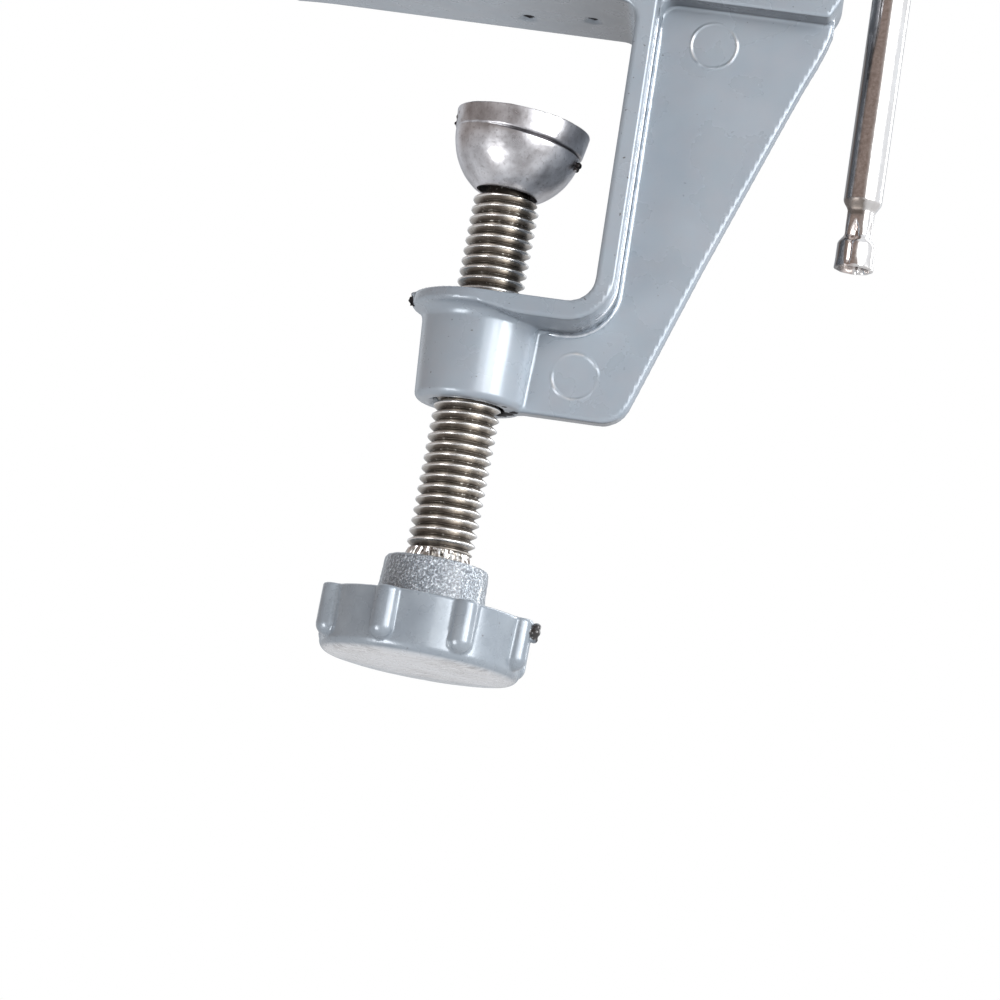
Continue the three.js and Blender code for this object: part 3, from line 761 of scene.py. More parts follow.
def screw_radius(r, z, angle):
    """Thread between the knurled ring and the shoulder; it starts and ends in short run-outs."""
    wave = thread_wave(z / PITCH - angle / (2 * math.pi) + THREAD_PHASE)
    nick = 0.02 * np.sin(7 * angle + 2.3 * z) * np.sin(3.1 * z + 1.7)
    thread = ROOT_R + (THREAD_R - ROOT_R) * wave + nick
    start = np.clip((z - HUB_TOP - KNURL_H) / 0.3, 0, 1)
    threaded = 3.3 * (1 - start) + np.minimum(r, thread) * start
    return np.where((z < SHOULDER) & (r > 3.0), threaded, r)


def screw_profile():
    heights = np.arange(HUB_TOP + KNURL_H - 0.4, SHOULDER - 0.2, PITCH / 18)
    shaft = [(THREAD_R, z) for z in heights]
    tip = rounded_profile([
        (THREAD_R, SHOULDER - 0.2), (2.6, SHOULDER), (2.55, BALL_ALONG - 2.6),
    ], 0.3)
    ball = arc(0, BALL_ALONG, 3.6, -44, 40, 12)
    rivet = rounded_profile([
        (2.3, BALL_ALONG + 2.45), (2.2, BALL_ALONG + 4.2), (2.6, BALL_ALONG + 4.25),
        (2.35, BALL_ALONG + 4.5), (0.4, BALL_ALONG + 4.55)], 0.2)
    return [(0.5, HUB_TOP + KNURL_H - 0.4), *shaft, *tip, *ball, *rivet]


def knurl_radius(r, z, angle):
    """Pressed teeth of uneven size, flared to the hub and broken at their tops."""
    uneven = 0.5 * np.sin(5 * angle + 0.4) + 0.35 * np.sin(11 * angle + 1.9)
    tooth = np.cos(KNURL_TEETH * angle + uneven)
    tooth = np.clip(tooth * 1.7 + 0.45, -1, 1)
    up = (z - HUB_TOP) / KNURL_H
    bite = 0.34 * np.clip(1.25 - up - 0.25 * np.sin(9 * angle), 0.25, 1)
    return np.where(r > 3.0, 3.62 + bite * tooth - 0.14 * up, r)


def knurl_profile():
    heights = np.linspace(HUB_TOP - 0.8, HUB_TOP + KNURL_H, 22)
    return [(0.5, HUB_TOP - 0.8), *[(3.9, z) for z in heights], (2.9, HUB_TOP + KNURL_H + 0.05)]


def plated_thread(name, axis_point, axis, root, crest):
    """Zinc plate coloured by depth: near white on the crests, a painted highlight with some wear, and dark
    brown in the roots, painted shade with some dirt.
    """
    n = Nodes(name, (0.62, 0.60, 0.57), 0.25, 1.0)
    foot = n.vector("SCALE", tuple(axis), scale=n.along(axis_point, axis))
    radial = n.vector("SUBTRACT", n.offset(axis_point), foot)
    rho = n.vector("LENGTH", radial, None, "Value")
    depth = n.map(rho, root * MM, crest * MM)
    depth_noise = n.noise(1.7, 5, 0.7)
    depth = n.math("ADD", depth, n.math("MULTIPLY_ADD", depth_noise, 0.36, -0.18))
    # Painted shade in the roots and painted highlight on the crests, set by depth.
    color = n.ramp(depth, (0.02, (0.08, 0.07, 0.06)), (0.25, (0.31, 0.28, 0.25)),
                   (0.78, (0.54, 0.51, 0.47)), (0.98, (0.92, 0.90, 0.88)))
    specks = n.ramp(n.noise(0.45, 3, 0.6), (0.60, 0.0), (0.66, 0.7))
    color = n.mix(specks, color, (0.62, 0.60, 0.56))
    rough = n.ramp(depth, (0.1, 0.42), (0.9, 0.22))
    normal = n.bump(n.noise(0.35, 3), 0.25, 0.03)
    return n.shade(Base_Color=color, Roughness=rough, Normal=normal)


def knurl_metal():
    """Bright metal with dirt in its hollows."""
    n = Nodes("knurl_metal", (0.7, 0.68, 0.64), 0.22, 1.0)
    dirt = n.noise(0.5, 4, 0.7)
    color = n.ramp(dirt, (0.34, (0.08, 0.075, 0.07)), (0.46, (0.60, 0.58, 0.55)),
                   (0.58, (0.95, 0.94, 0.93)))
    normal = n.bump(n.noise(0.3, 3), 0.3, 0.04)
    return n.shade(Base_Color=color, Normal=normal)


def build_clamp_screw():
    material = plated_thread("clamp_thread", CLAMP_PIVOT, CLAMP_AXIS, ROOT_R, THREAD_R)
    screw = lathe("clamp_screw_thread", screw_profile(), material, SCREW_SIDES,
                  CLAMP_PLACE, screw_radius, 60)
    finish_piece(screw, "clamp_screw", "plated_steel", "clamp_screw")
    knurl = lathe("clamp_screw_knurl", knurl_profile(), knurl_metal(), 10 * KNURL_TEETH,
                  CLAMP_PLACE, knurl_radius, 50)
    finish_piece(knurl, "clamp_screw", "plated_steel")


def knob_flash(q):
    """A torn tab of flash on one rib."""
    tab = np.full(q.shape[:-1], np.inf)
    for place, radius in FLASH_LUMPS:
        tab = either(tab, np.linalg.norm((q - place) * (1, 1, 1.1), axis=-1) - radius, 0.15)
    return tab


def knob(p):
    q = clamp_frame(p)
    x, y, z = q[..., 0], q[..., 1], q[..., 2]
    rho = length2(x, y)
    hub = both(rho - (6.05 + (HUB_TOP - z) * 0.05), slab(z, HUB_BOTTOM - 2, HUB_TOP), 0.5)
    dome = 0.5 * (1 - (np.minimum(rho, KNOB_R) / KNOB_R) ** 2)
    under = KNOB_BOTTOM - dome - z
    side = both(rho - KNOB_R + (HUB_BOTTOM - z) * 0.03, z - HUB_BOTTOM, 0.35)
    disk = both(side, under, 1.1)
    angle = np.arctan2(y, x) - RIB_TURN
    step = 2 * math.pi / RIBS
    near = angle - np.round(angle / step) * step
    along_rim = rho * np.sin(near)
    out = rho * np.cos(near) - (KNOB_R - 0.25)
    below = np.minimum(z - RIB_LOW, 0)
    rib = np.sqrt(along_rim ** 2 + out ** 2 + below ** 2) - RIB_R
    rib = both(rib, z - HUB_BOTTOM, 0.35)
    body = either(either(disk, rib, 0.14), hub, 0.3)
    body = either(body, knob_flash(q), 0.15)
    return without(body, both(rho - 3.6, -(z - HUB_TOP + 1.6)), 0.25)


def lumps(points, size, seed):
    """Smooth value noise of about unit height at the points, repeatable for a seed."""
    cell = points / size + seed * 17.31
    base = np.floor(cell).astype(np.int64)
    t = cell - base
    t = t * t * (3 - 2 * t)
    total = 0
    for corner in lattice(2, 2, 2):
        c = base + corner
        h = (c[..., 0] * 374761393 + c[..., 1] * 668265263 + c[..., 2] * 2147483647) & 0x7FFFFFFF
        h = ((h ^ (h >> 13)) * 1274126177) & 0x7FFFFFFF
        value = ((h ^ (h >> 16)) & 0xFFFF) / 32767.5 - 1
        total = total + value * np.prod(np.where(corner, t, 1 - t), axis=-1)
    return total


def knob_rough(points):
    """The hub is as cast: sandy."""
    q = clamp_frame(points)
    on_hub = np.clip((q[:, 2] - HUB_BOTTOM + 0.1) / 0.4, 0, 1)
    return 0.055 * on_hub * lumps(points, 0.42, 3) + 0.012 * lumps(points, 2.6, 5)


def knob_paint():
    """Paint that is scuffed on the base, sandy and glittering on the hub, and black on the torn flash."""
    n = Nodes("knob_paint", (0.36, 0.41, 0.46), 0.26, 0.25, Coat_Weight=0.7, Coat_Roughness=0.10)
    color = n.spread(n.noise(5, 4), 0.35, 0.7, (0.235, 0.27, 0.31), (0.31, 0.35, 0.39))
    along = n.along(CLAMP_PIVOT, CLAMP_AXIS)
    hub = n.map(along, (HUB_BOTTOM - 0.05) * MM, (HUB_BOTTOM + 0.25) * MM)
    base = n.map(along, (KNOB_BOTTOM + 0.35) * MM, (KNOB_BOTTOM - 0.15) * MM)
    sparkle = n.ramp(n.noise(0.24, 2, 0.6), (0.40, (0.20, 0.22, 0.25)), (0.55, (0.42, 0.46, 0.50)),
                     (0.68, (0.75, 0.78, 0.82)))
    color = n.mix(n.math("MULTIPLY", hub, 0.85), color, sparkle)
    streaks = n.turned((0, 0, 0.25), (1.0, 5, 1))
    scuffed = n.ramp(n.noise(2.2, 5, 0.7, vector=streaks), (0.50, (0.90, 0.90, 0.91)),
                     (0.57, (0.36, 0.34, 0.33)), (0.64, (0.92, 0.92, 0.93)))
    worn = n.ramp(n.noise(6.5, 2), (0.40, 0.0), (0.60, 1.0))
    bare = n.mix(worn, (0.86, 0.87, 0.89), scuffed)
    color = n.mix(n.math("MULTIPLY", base, 0.95), color, bare)
    color = n.spread(n.noise(0.42, 1), 0.775, 0.80, color, (0.09, 0.08, 0.085), most=0.85)
    rough = n.mix(hub, n.ramp(n.noise(2.2, 4), (0.3, 0.20), (0.7, 0.36)), (0.27, 0.27, 0.27))
    metallic = n.math("MULTIPLY_ADD", hub, 0.6, 0.25)
    normal = n.bump(n.noise(0.5, 3), 0.2, 0.04)
    grit = n.math("MULTIPLY", n.noise(0.24, 3, 0.8), hub)
    normal = n.bump(grit, 1.0, 0.20, normal)
    scrape = n.math("MULTIPLY", n.noise(0.6, 4, 0.7, vector=streaks), base)
    normal = n.bump(scrape, 0.8, 0.10, normal)
    tab = CLAMP_TURN @ np.array(FLASH_LUMPS[0][0]) + CLAMP_PIVOT
    color = n.mix(n.patch(tab + (0.35, 0, 0), 1.1, 1.75, 1.55), color, (0.03, 0.026, 0.026))
    return n.shade(Base_Color=color, Roughness=rough, Metallic=metallic, Normal=normal)


def build_knob():
    low, high = node_box("clamp_knob")
    piece = cast_piece("clamp_knob_casting", knob, low - 0.4, high + 0.4, 0.22, knob_paint(), knob_rough)
    finish_piece(piece, "clamp_screw", "cast_paint", "clamp_knob")


PAD_TOP = 5.1
PAD_LOW = -3.9
BOWL_CENTRE = 3.2
BOWL_R = 7.6
PARTING = 2.55
PARTING_TILT = 0.035
PAD_NIBS = [((-7.55, -1.6, 3.9), 0.26), ((-7.75, -0.6, 3.3), 0.22), ((-7.3, -2.6, 4.2), 0.2),
            ((7.55, -1.5, 1.1), 0.42), ((7.45, -1.9, 0.5), 0.36)]
PAD_DARK = [((-7.7, -1.2, 3.6), 0.45), ((7.7, -1.9, 0.8), 0.5)]


def pad(p):
    q = (p - BALL) @ PAD_TURN
    x, y, z = q[..., 0], q[..., 1], q[..., 2]
    rho = length2(x, y)
    sphere = np.sqrt(rho ** 2 + ((z - BOWL_CENTRE) * 0.945) ** 2) - BOWL_R
    column = both(rho - BOWL_R, z - PAD_TOP)
    bowl = both(np.where(z < BOWL_CENTRE, sphere, column), PAD_LOW - z, 0.3)
    above = z - PARTING + PARTING_TILT * x
    band = both(rho - (7.66 + (z - PARTING) * 0.13), both(-above, z - PAD_TOP), 0.12)
    body = either(bowl, band, 0.06)
    open_seam = np.clip((x + 3.5) / 3, 0, 1)
    body = body + 0.22 * open_seam * np.exp(-((above + 0.1) / 0.16) ** 2)
    body = body - 0.03 * lumps(q, 1.7, 2)
    for place, radius in PAD_NIBS:
        body = either(body, np.linalg.norm(q - place, axis=-1) - radius, 0.12)
    socket = outline(rho, z, [
        (-1, PAD_LOW - 1), (3.6, PAD_LOW - 1), (3.6, -2.7), (3.55, -1.65), (3.9, 0), (3.68, 1.3),
        (2.99, 2.5), (2.95, 2.75), (5.4, 2.75), (5.5, PAD_TOP + 1), (-1, PAD_TOP + 1)])
    return without(body, socket, 0.2)


def pad_metal():
    """Bare zinc: bright where rubbing wore it, with stains from handling, black at the torn nibs, and
    painted shade along the open seam.
    """
    n = Nodes("pad_metal", (0.5, 0.5, 0.51), 0.34, 0.95)
    blotch = n.noise(2.6, 5, 0.6)
    fine = n.noise(0.45, 4, 0.65)
    color = n.spread(blotch, 0.35, 0.65, (0.46, 0.45, 0.465), (0.76, 0.76, 0.79))
    color = n.spread(fine, 0.55, 0.72, color, (0.27, 0.25, 0.25), most=0.6)
    x, z = n.along(BALL, PAD_TURN[:, 0]), n.along(BALL, PAD_TURN[:, 2])
    # Painted shade: a dark line along the open part of the seam below the rim band.
    seam = n.math("ADD", n.math("MULTIPLY_ADD", x, PARTING_TILT, z), (0.12 - PARTING) * MM)
    line = n.ramp(n.math("DIVIDE", n.math("ABSOLUTE", seam), 0.22 * MM), (0.35, 0.9), (1.0, 0.0))
    line = n.math("MULTIPLY", line, n.map(x, -3.5 * MM, 0.5 * MM))
    color = n.mix(line, color, (0.04, 0.035, 0.04))
    for place, radius in PAD_DARK:
        at = PAD_TURN @ np.array(place) + BALL
        color = n.mix(n.patch(at, 0.8, radius + 0.75, radius + 0.5), color, (0.05, 0.045, 0.045))
    rough = n.ramp(blotch, (0.3, 0.27), (0.7, 0.40))
    normal = n.bump(n.noise(1.1, 4), 0.4, 0.09)
    normal = n.bump(n.noise(0.25, 3), 0.3, 0.03, normal)
    return n.shade(Base_Color=color, Roughness=rough, Normal=normal)


def build_pad():
    low, high = node_box("swivel_pad")
    piece = cast_piece("swivel_pad_casting", pad, low - 0.3, high + 0.3, 0.15, pad_metal())
    finish_piece(piece, "swivel_pad", "bare_cast", "swivel_pad")


# ---------------- tommy bar

BAR_X = 41.9
BAR_R = 2.25
BAR_LOW, BAR_HIGH = -26.1, 30.6
BAR_SIDES = 96
CREASE_TURN = math.radians(-109)


def bar_radius(r, z, angle):
    """The tube is pinched in four places near each end, which leaves its mouth flared and creased."""
    middle = (BAR_LOW + BAR_HIGH) / 2
    from_end = (BAR_HIGH - BAR_LOW) / 2 - np.abs(z - middle)
    quarter = math.pi / 2
    turn = angle - CREASE_TURN
    off_crease = np.abs(turn - np.round(turn / quarter) * quarter)
    flat = 1 - 0.06 * np.cos(4 * turn)
    pinch = np.clip((from_end - 2.9) / 1.2, 0, 1) * np.clip((8.3 - from_end) / 1.5, 0, 1)
    pinch = pinch * pinch * (3 - 2 * pinch)
    shaped = r * (1 - pinch * (1 - 0.70 * flat))
    leaf = np.clip(np.minimum(from_end - 2.6, (5.9 - from_end) * 0.9) / 1.3, 0, 1)
    slit = np.clip(from_end / 0.5, 0, 1) * np.clip(4.5 - from_end, 0, 1)
    crease = np.exp(-(off_crease / (0.10 + 0.22 * leaf)) ** 2) * np.maximum(leaf, 0.35 * slit)
    shaped = shaped * (1 - 0.36 * crease)
    mouth = np.clip((1.2 - from_end) / 1.2, 0, 1)
    shaped = shaped * (1 + mouth * (0.03 * np.cos(9 * turn + 0.6) + 0.02))
    return np.where(r > 1.2, np.minimum(shaped, BAR_R * 1.03), r)


def bar_profile():
    def end(sign, z):
        """One end of the tube, from deep inside its mouth round the rim to its outside."""
        wall = [(0.3, 3.0), (1.3, 2.9), (1.62, 2.2), (1.72, 1.2), (1.78, 0.3), (1.86, 0.04),
                (2.0, 0), (2.15, 0.03)]
        outer = [(BAR_R, depth) for depth in (0.14, 0.4, 0.8, 1.2, 1.6)]
        return [(r, z + sign * depth) for r, depth in [*wall, *outer]]

    shaft = [(BAR_R, z) for z in np.arange(BAR_LOW + 1.8, BAR_LOW + 9, 0.14)]
    upper = [(BAR_R, z) for z in np.arange(BAR_HIGH - 9, BAR_HIGH - 1.75, 0.14)]
    middle = [(BAR_R, z) for z in np.linspace(BAR_LOW + 9.5, BAR_HIGH - 9.5, 20)]
    return [*end(1, BAR_LOW), *shaft, *middle, *upper, *reversed(end(-1, BAR_HIGH))]


def chrome():
    """Pitted chrome, with a painted dark reflection down the side towards -X: mottled brown, darker at its
    edge, and darker and rougher at the pinched step.
    """
    n = Nodes("bar_chrome", (0.72, 0.70, 0.68), 0.12, 1.0)
    streak = n.noise(1.0, 5, 0.65, vector=n.scaled(1, 1, 0.12))
    color = n.spread(streak, 0.35, 0.7, (0.74, 0.71, 0.69), (0.86, 0.85, 0.84))
    # Painted dark reflection: the side towards -X is mottled brown, and its edge darker still.
    across = n.math("ADD", n.axis("X"), n.math("MULTIPLY_ADD", n.noise(0.7, 4), 0.5 * MM, -0.25 * MM))
    painted_dark_side = n.map(across, (BAR_X + 0.1) * MM, (BAR_X - 0.2) * MM)
    mottled = n.ramp(n.noise(0.55, 5, 0.7), (0.35, (0.52, 0.45, 0.42)), (0.65, (0.78, 0.71, 0.68)))
    color = n.mix(painted_dark_side, color, mottled)
    edge = n.map(across, (BAR_X - 1.0) * MM, (BAR_X - 1.6) * MM)
    color = n.mix(edge, color, (0.20, 0.19, 0.19))
    # Painted shade: the pinched step on the side towards -X is darker and rougher.
    from_middle = n.math("ABSOLUTE", n.math("SUBTRACT", n.axis("Z"), (BAR_LOW + BAR_HIGH) / 2 * MM))
    from_step = n.math("ABSOLUTE", n.math("SUBTRACT", from_middle, ((BAR_HIGH - BAR_LOW) / 2 - 7.3) * MM))
    painted_step_shade = n.map(n.math("MULTIPLY_ADD", n.noise(0.6, 4), 0.8 * MM, from_step), 1.5 * MM, 1.1 * MM)
    painted_step_shade = n.math("MULTIPLY", painted_step_shade, n.map(across, (BAR_X + 0.5) * MM, (BAR_X + 0.1) * MM))
    dulled = n.math("MULTIPLY", painted_step_shade, 0.3)
    color = n.mix(painted_step_shade, color, (0.23, 0.20, 0.18))
    color = n.spread(n.noise(0.25, 2), 0.68, 0.76, color, (0.25, 0.20, 0.17), most=0.6)
    rough = n.math("ADD", dulled, n.ramp(n.noise(1.3, 4), (0.3, 0.08), (0.7, 0.22)))
    normal = n.bump(n.noise(0.8, 4, vector=n.scaled(1, 1, 0.08)), 0.12, 0.03)
    normal = n.bump(n.noise(0.3, 3), 0.15, 0.012, normal)
    return n.shade(Base_Color=color, Roughness=rough, Normal=normal)


def build_tommy_bar():
    place = np.eye(4)
    place[0, 3] = BAR_X
    bar = lathe("tommy_bar_tube", bar_profile(), chrome(), BAR_SIDES, place, bar_radius, 50)
    finish_piece(bar, "tommy_bar", "tommy_chrome", "tommy_bar")


# ---------------- lead screw and what runs on it

LEAD_TAIL = -42.0
JOURNAL_X0 = 24.8
HEAD_R = 5.5
HEAD_X = (35.1, 47.4)
CLIP_X = (23.5, 24.4)
WASHER_X = (33.7, 34.9)
NOSE_R = 9.0
NOSE_FRONT = 33.5
BOLT_SIDES = 48


def lead_wave(x, y, z):
    return thread_wave(x / PITCH - np.arctan2(z, y) / (2 * math.pi))


def lead_screw(p):
    x, y, z = p[..., 0], p[..., 1], p[..., 2] - LEAD_Z
    rho = length2(y, z)
    end = np.clip((x - LEAD_TAIL) / 1.2, 0, 1) * np.clip((20.8 - x) / 1.2 + 0.3, 0, 1)
    ridge = (THREAD_R - ROOT_R) * lead_wave(x, y, z) * end
    thread = both((rho - ROOT_R - ridge) * 0.72, slab(x, LEAD_TAIL, 21.5), 0.1)
    journal = both(rho - 4.0, slab(x, 20.8, 36), 0.25)
    clip_groove = both(3.1 - rho, slab(x, CLIP_X[0] - 0.12, CLIP_X[1] + 0.12))
    journal = without(journal, clip_groove)
    dome = HEAD_X[1] - 0.02 * rho ** 2
    head = both(both(rho - HEAD_R, HEAD_X[0] - x, 0.4), (x - dome) * 0.97, 0.9)
    body = np.minimum(thread, either(journal, head, 0.3))
    return without(body, length2(x - BAR_X, y) - 2.4, 0.35)


def ring_solid(p, inner, outer, low, high, r=0.15):
    """A ring round the lead screw, from x = low to high."""
    x, rho = p[..., 0], length2(p[..., 1], p[..., 2] - LEAD_Z)
    return both(without(rho - outer, rho - inner, 0), slab(x, low, high), r)


def retaining_ring(p):
    y, z = p[..., 1], p[..., 2] - LEAD_Z
    ring = ring_solid(p, 3.2, 6.0, *CLIP_X, 0.12)
    mouth = both(np.abs(z) - 1.9 + 0.2 * np.clip(y - 4, -1, 1), -y)
    side = np.minimum(disc(y, z, -1.6, 4.9, 1.0), disc(y, z, -1.6, -4.9, 1.0))
    return without(without(ring, mouth, 0.2), side, 0.1)


# ---------------- jaw plates, keepers and screws

def countersink(u, v, w):
    """Hole along w with its countersunk mouth at w = 0 and the solid below it."""
    rho = length2(u, v)
    return np.minimum(rho - 1.55, (rho - 2.98 - np.minimum(w, 0) * 0.83) * 0.77)


def jaw_plate(face, facing):
    """A plate whose gripping face is at x = face and looks along facing."""
    def distance(p):
        depth = (p[..., 0] - face) * facing
        y, z = p[..., 1], p[..., 2]
        step = (z - PLATE_Z[0]) / GROOVE_STEP
        near = np.abs(step - np.round(step)) * GROOVE_STEP
        cross = np.where((step > 0.5) & (z < PLATE_Z[1] - 1), np.clip(0.32 - near, 0, 1), 0)
        plate = both(both(slab(y, -PLATE_HALF_W, PLATE_HALF_W), slab(z, *PLATE_Z), 0.5),
                     slab(depth, -PLATE_T, 0) + cross, 0.2)
        holes = countersink(np.abs(y) - PLATE_SCREW_Y, z - PLATE_SCREW_Z, depth)
        return without(plate, holes, 0.12)
    return distance


def keeper(side):
    """The strip under the rail's flange at y times side, with the holes of its two screws."""
    def distance(p):
        x, y, z = p[..., 0], p[..., 1] * side, p[..., 2]
        strip = both(slab(x, SLIDE_FACE + 0.5, SLIDE_BACK - 1), slab(y, 4.9, 13.0), 0.6)
        strip = both(strip, slab(z, *KEEPER_Z), 0.25)
        depth = KEEPER_Z[0] - z
        holes = np.minimum(*[countersink(x - a, y - KEEPER_SCREW_Y, depth) for a in KEEPER_SCREW_X])
        return without(strip, holes, 0.12)
    return distance


def screw_rings(length):
    """Countersunk screw along +Z with its head's top at 0, and a hexagon socket."""
    body = [(0.3, -length), (1.1, -length), (1.4, -length + 0.35)]
    thread = [(1.16 if i % 4 == 0 else 1.3 if i % 2 else 1.42, z)
              for i, z in enumerate(np.arange(-length + 0.5, -1.75, 0.125))]
    head = [(1.45, -1.6), (2.7, -0.22), (2.78, -0.12), (2.72, -0.04), (2.5, -0.02), (1.45, -0.02),
            (1.27, -0.05), (1.15, -0.2), (1.15, -1.15), (0.3, -1.3)]
    return [*body, *thread, *head]


def hex_socket(r_low, r_high, z_low, z_high):
    """A rule that makes the rings between the limits hexagons."""
    def radius(r, z, angle):
        sector = (angle % (math.pi / 3)) - math.pi / 6
        hexagon = math.cos(math.pi / 6) / np.cos(sector)
        inner = (r > r_low) & (r < r_high) & (z > z_low) & (z < z_high)
        return np.where(inner, r * hexagon, r)
    return radius


def frame_matrix(origin, towards, spin=0.0):
    """A place whose +Z runs along towards from the origin."""
    z = np.array(towards, float)
    side = np.array((0.0, 1.0, 0.0)) if abs(z[1]) < 0.9 else np.array((1.0, 0.0, 0.0))
    x = np.cross(side, z)
    x /= np.linalg.norm(x)
    y = np.cross(z, x)
    c, s = math.cos(spin), math.sin(spin)
    place = np.eye(4)
    place[:3, 0], place[:3, 1], place[:3, 2] = c * x + s * y, c * y - s * x, z
    place[:3, 3] = origin
    return place


def black_steel():
    """Blackened steel, worn grey in places."""
    n = Nodes("black_steel", (0.05, 0.05, 0.055), 0.4, 0.85)
    wear = n.noise(1.2, 5, 0.65)
    color = n.spread(wear, 0.45, 0.72, (0.035, 0.036, 0.04), (0.17, 0.165, 0.16))
    rough = n.ramp(n.noise(0.7, 4), (0.3, 0.3), (0.7, 0.52))
    normal = n.bump(n.noise(0.4, 4), 0.3, 0.03)
    return n.shade(Base_Color=color, Roughness=rough, Normal=normal)


def ground_steel():
    """Steel ground along Y, with brown stains."""
    n = Nodes("ground_steel", (0.55, 0.55, 0.55), 0.3, 1.0)
    lines = n.noise(0.35, 4, 0.7, vector=n.scaled(1, 0.04, 1))
    color = n.spread(lines, 0.35, 0.65, (0.42, 0.42, 0.43), (0.66, 0.65, 0.64))
    color = n.spread(n.noise(3.5, 5, 0.6), 0.58, 0.75, color, (0.27, 0.23, 0.19), most=0.5)
    rough = n.ramp(lines, (0.3, 0.24), (0.7, 0.4))
    normal = n.bump(lines, 0.3, 0.02)
    return n.shade(Base_Color=color, Roughness=rough, Normal=normal)


def nut_sleeve(p):
    """The threaded bush that the lead screw turns in."""
    x, y, z = p[..., 0], p[..., 1], p[..., 2] - LEAD_Z
    rho = length2(y, z)
    bore = (rho - 4.15 - 0.45 * lead_wave(x, y, z)) * 0.8
    return both(without(rho - BUSH_R, bore, 0.05), slab(x, *BUSH_X), 0.35)


def pad_washer(p):
    q = clamp_frame(p)
    rho = length2(q[..., 0], q[..., 1])
    ring = without(rho - 4.4, rho - 2.25, 0.1)
    return both(ring, slab(q[..., 2], BALL_ALONG + 3.6, BALL_ALONG + 4.5), 0.15)


def grub_rings():
    """Set screw along +Z from its point at 0, with a hexagon socket at the other end."""
    thread = [(1.25 if i % 4 == 0 else 1.48, 0.6 + i * 0.125) for i in range(32)]
    return [(0.3, 0.0), (1.0, 0.0), (1.4, 0.45), *thread,
            (1.3, 4.9), (1.05, 4.95), (0.92, 4.85), (0.85, 3.5), (0.2, 3.3)]


def build_small_parts():
    black, ground = black_steel(), ground_steel()
    lead_metal = plated_thread("lead_thread", (0, 0, LEAD_Z), (1, 0, 0), ROOT_R, THREAD_R)
    socket = hex_socket(1.12, 1.3, -1.16, 0)

    def add(name, distance, node, step, material, body, slot):
        low, high = node_box(node)
        piece = cast_piece(name, distance, low - 0.2, high + 0.2, step, material)
        finish_piece(piece, body, slot, node)

    def add_screw(name, node, body, rings, place, radius):
        finish_piece(lathe(name, rings, black, BOLT_SIDES, place, radius, 30), body, "black_steel", node)

    add("lead_screw_bar", lead_screw, "lead_screw", 0.26, lead_metal, "lead_screw", "plated_steel")
    add("thrust_washer_ring", lambda p: ring_solid(p, 4.1, 5.9, *WASHER_X), "thrust_washer", 0.2,
        ground, "lead_screw", "plated_steel")
    add("retaining_ring_clip", retaining_ring, "retaining_ring", 0.16, black, "lead_screw", "black_steel")
    add("fixed_jaw_plate_steel", jaw_plate(FIXED_GRIP, 1), "fixed_jaw_plate", 0.25,
        ground, "frame", "plated_steel")
    add("sliding_jaw_plate_steel", jaw_plate(SLIDING_GRIP, -1), "sliding_jaw_plate", 0.25,
        ground, "sliding_jaw", "plated_steel")
    add("lead_nut_sleeve", nut_sleeve, "lead_nut_bush", 0.22, ground, "frame", "plated_steel")
    for name, side in SIDES:
        add("keeper_bar_" + name, keeper(side), "keeper_strip_" + name, 0.3,
            black, "sliding_jaw", "black_steel")
        for prefix, body, x, facing in (("fixed", "frame", FIXED_GRIP, 1),
                                        ("sliding", "sliding_jaw", SLIDING_GRIP, -1)):
            centre = (x, side * PLATE_SCREW_Y, PLATE_SCREW_Z)
            add_screw(f"{prefix}_plate_bolt_{name}", f"{prefix}_plate_screw_{name}", body,
                      screw_rings(8), frame_matrix(centre, (facing, 0, 0), 0.4 * side + facing), socket)
        for end, x in zip(("rear", "front"), KEEPER_SCREW_X):
            centre = (x, side * KEEPER_SCREW_Y, KEEPER_Z[0])
            add_screw(f"keeper_bolt_{end}_{name}", f"keeper_screw_{end}_{name}", "sliding_jaw",
                      screw_rings(6.5), frame_matrix(centre, (0, 0, -1), 0.7 * side + x), socket)
    grub_place = frame_matrix((GRUB_X, BUSH_R + 0.05, LEAD_Z), (0, 1, 0))
    add_screw("bush_grub", "bush_set_screw", "frame", grub_rings(), grub_place,
              hex_socket(0.8, 0.95, 3.4, math.inf))
    washer = cast_piece("pad_washer_ring", pad_washer, *node_box("pad_washer"), 0.14, ground)
    finish_piece(washer, "pad_carrier", "plated_steel", "pad_washer")


# ---------------- sliding jaw

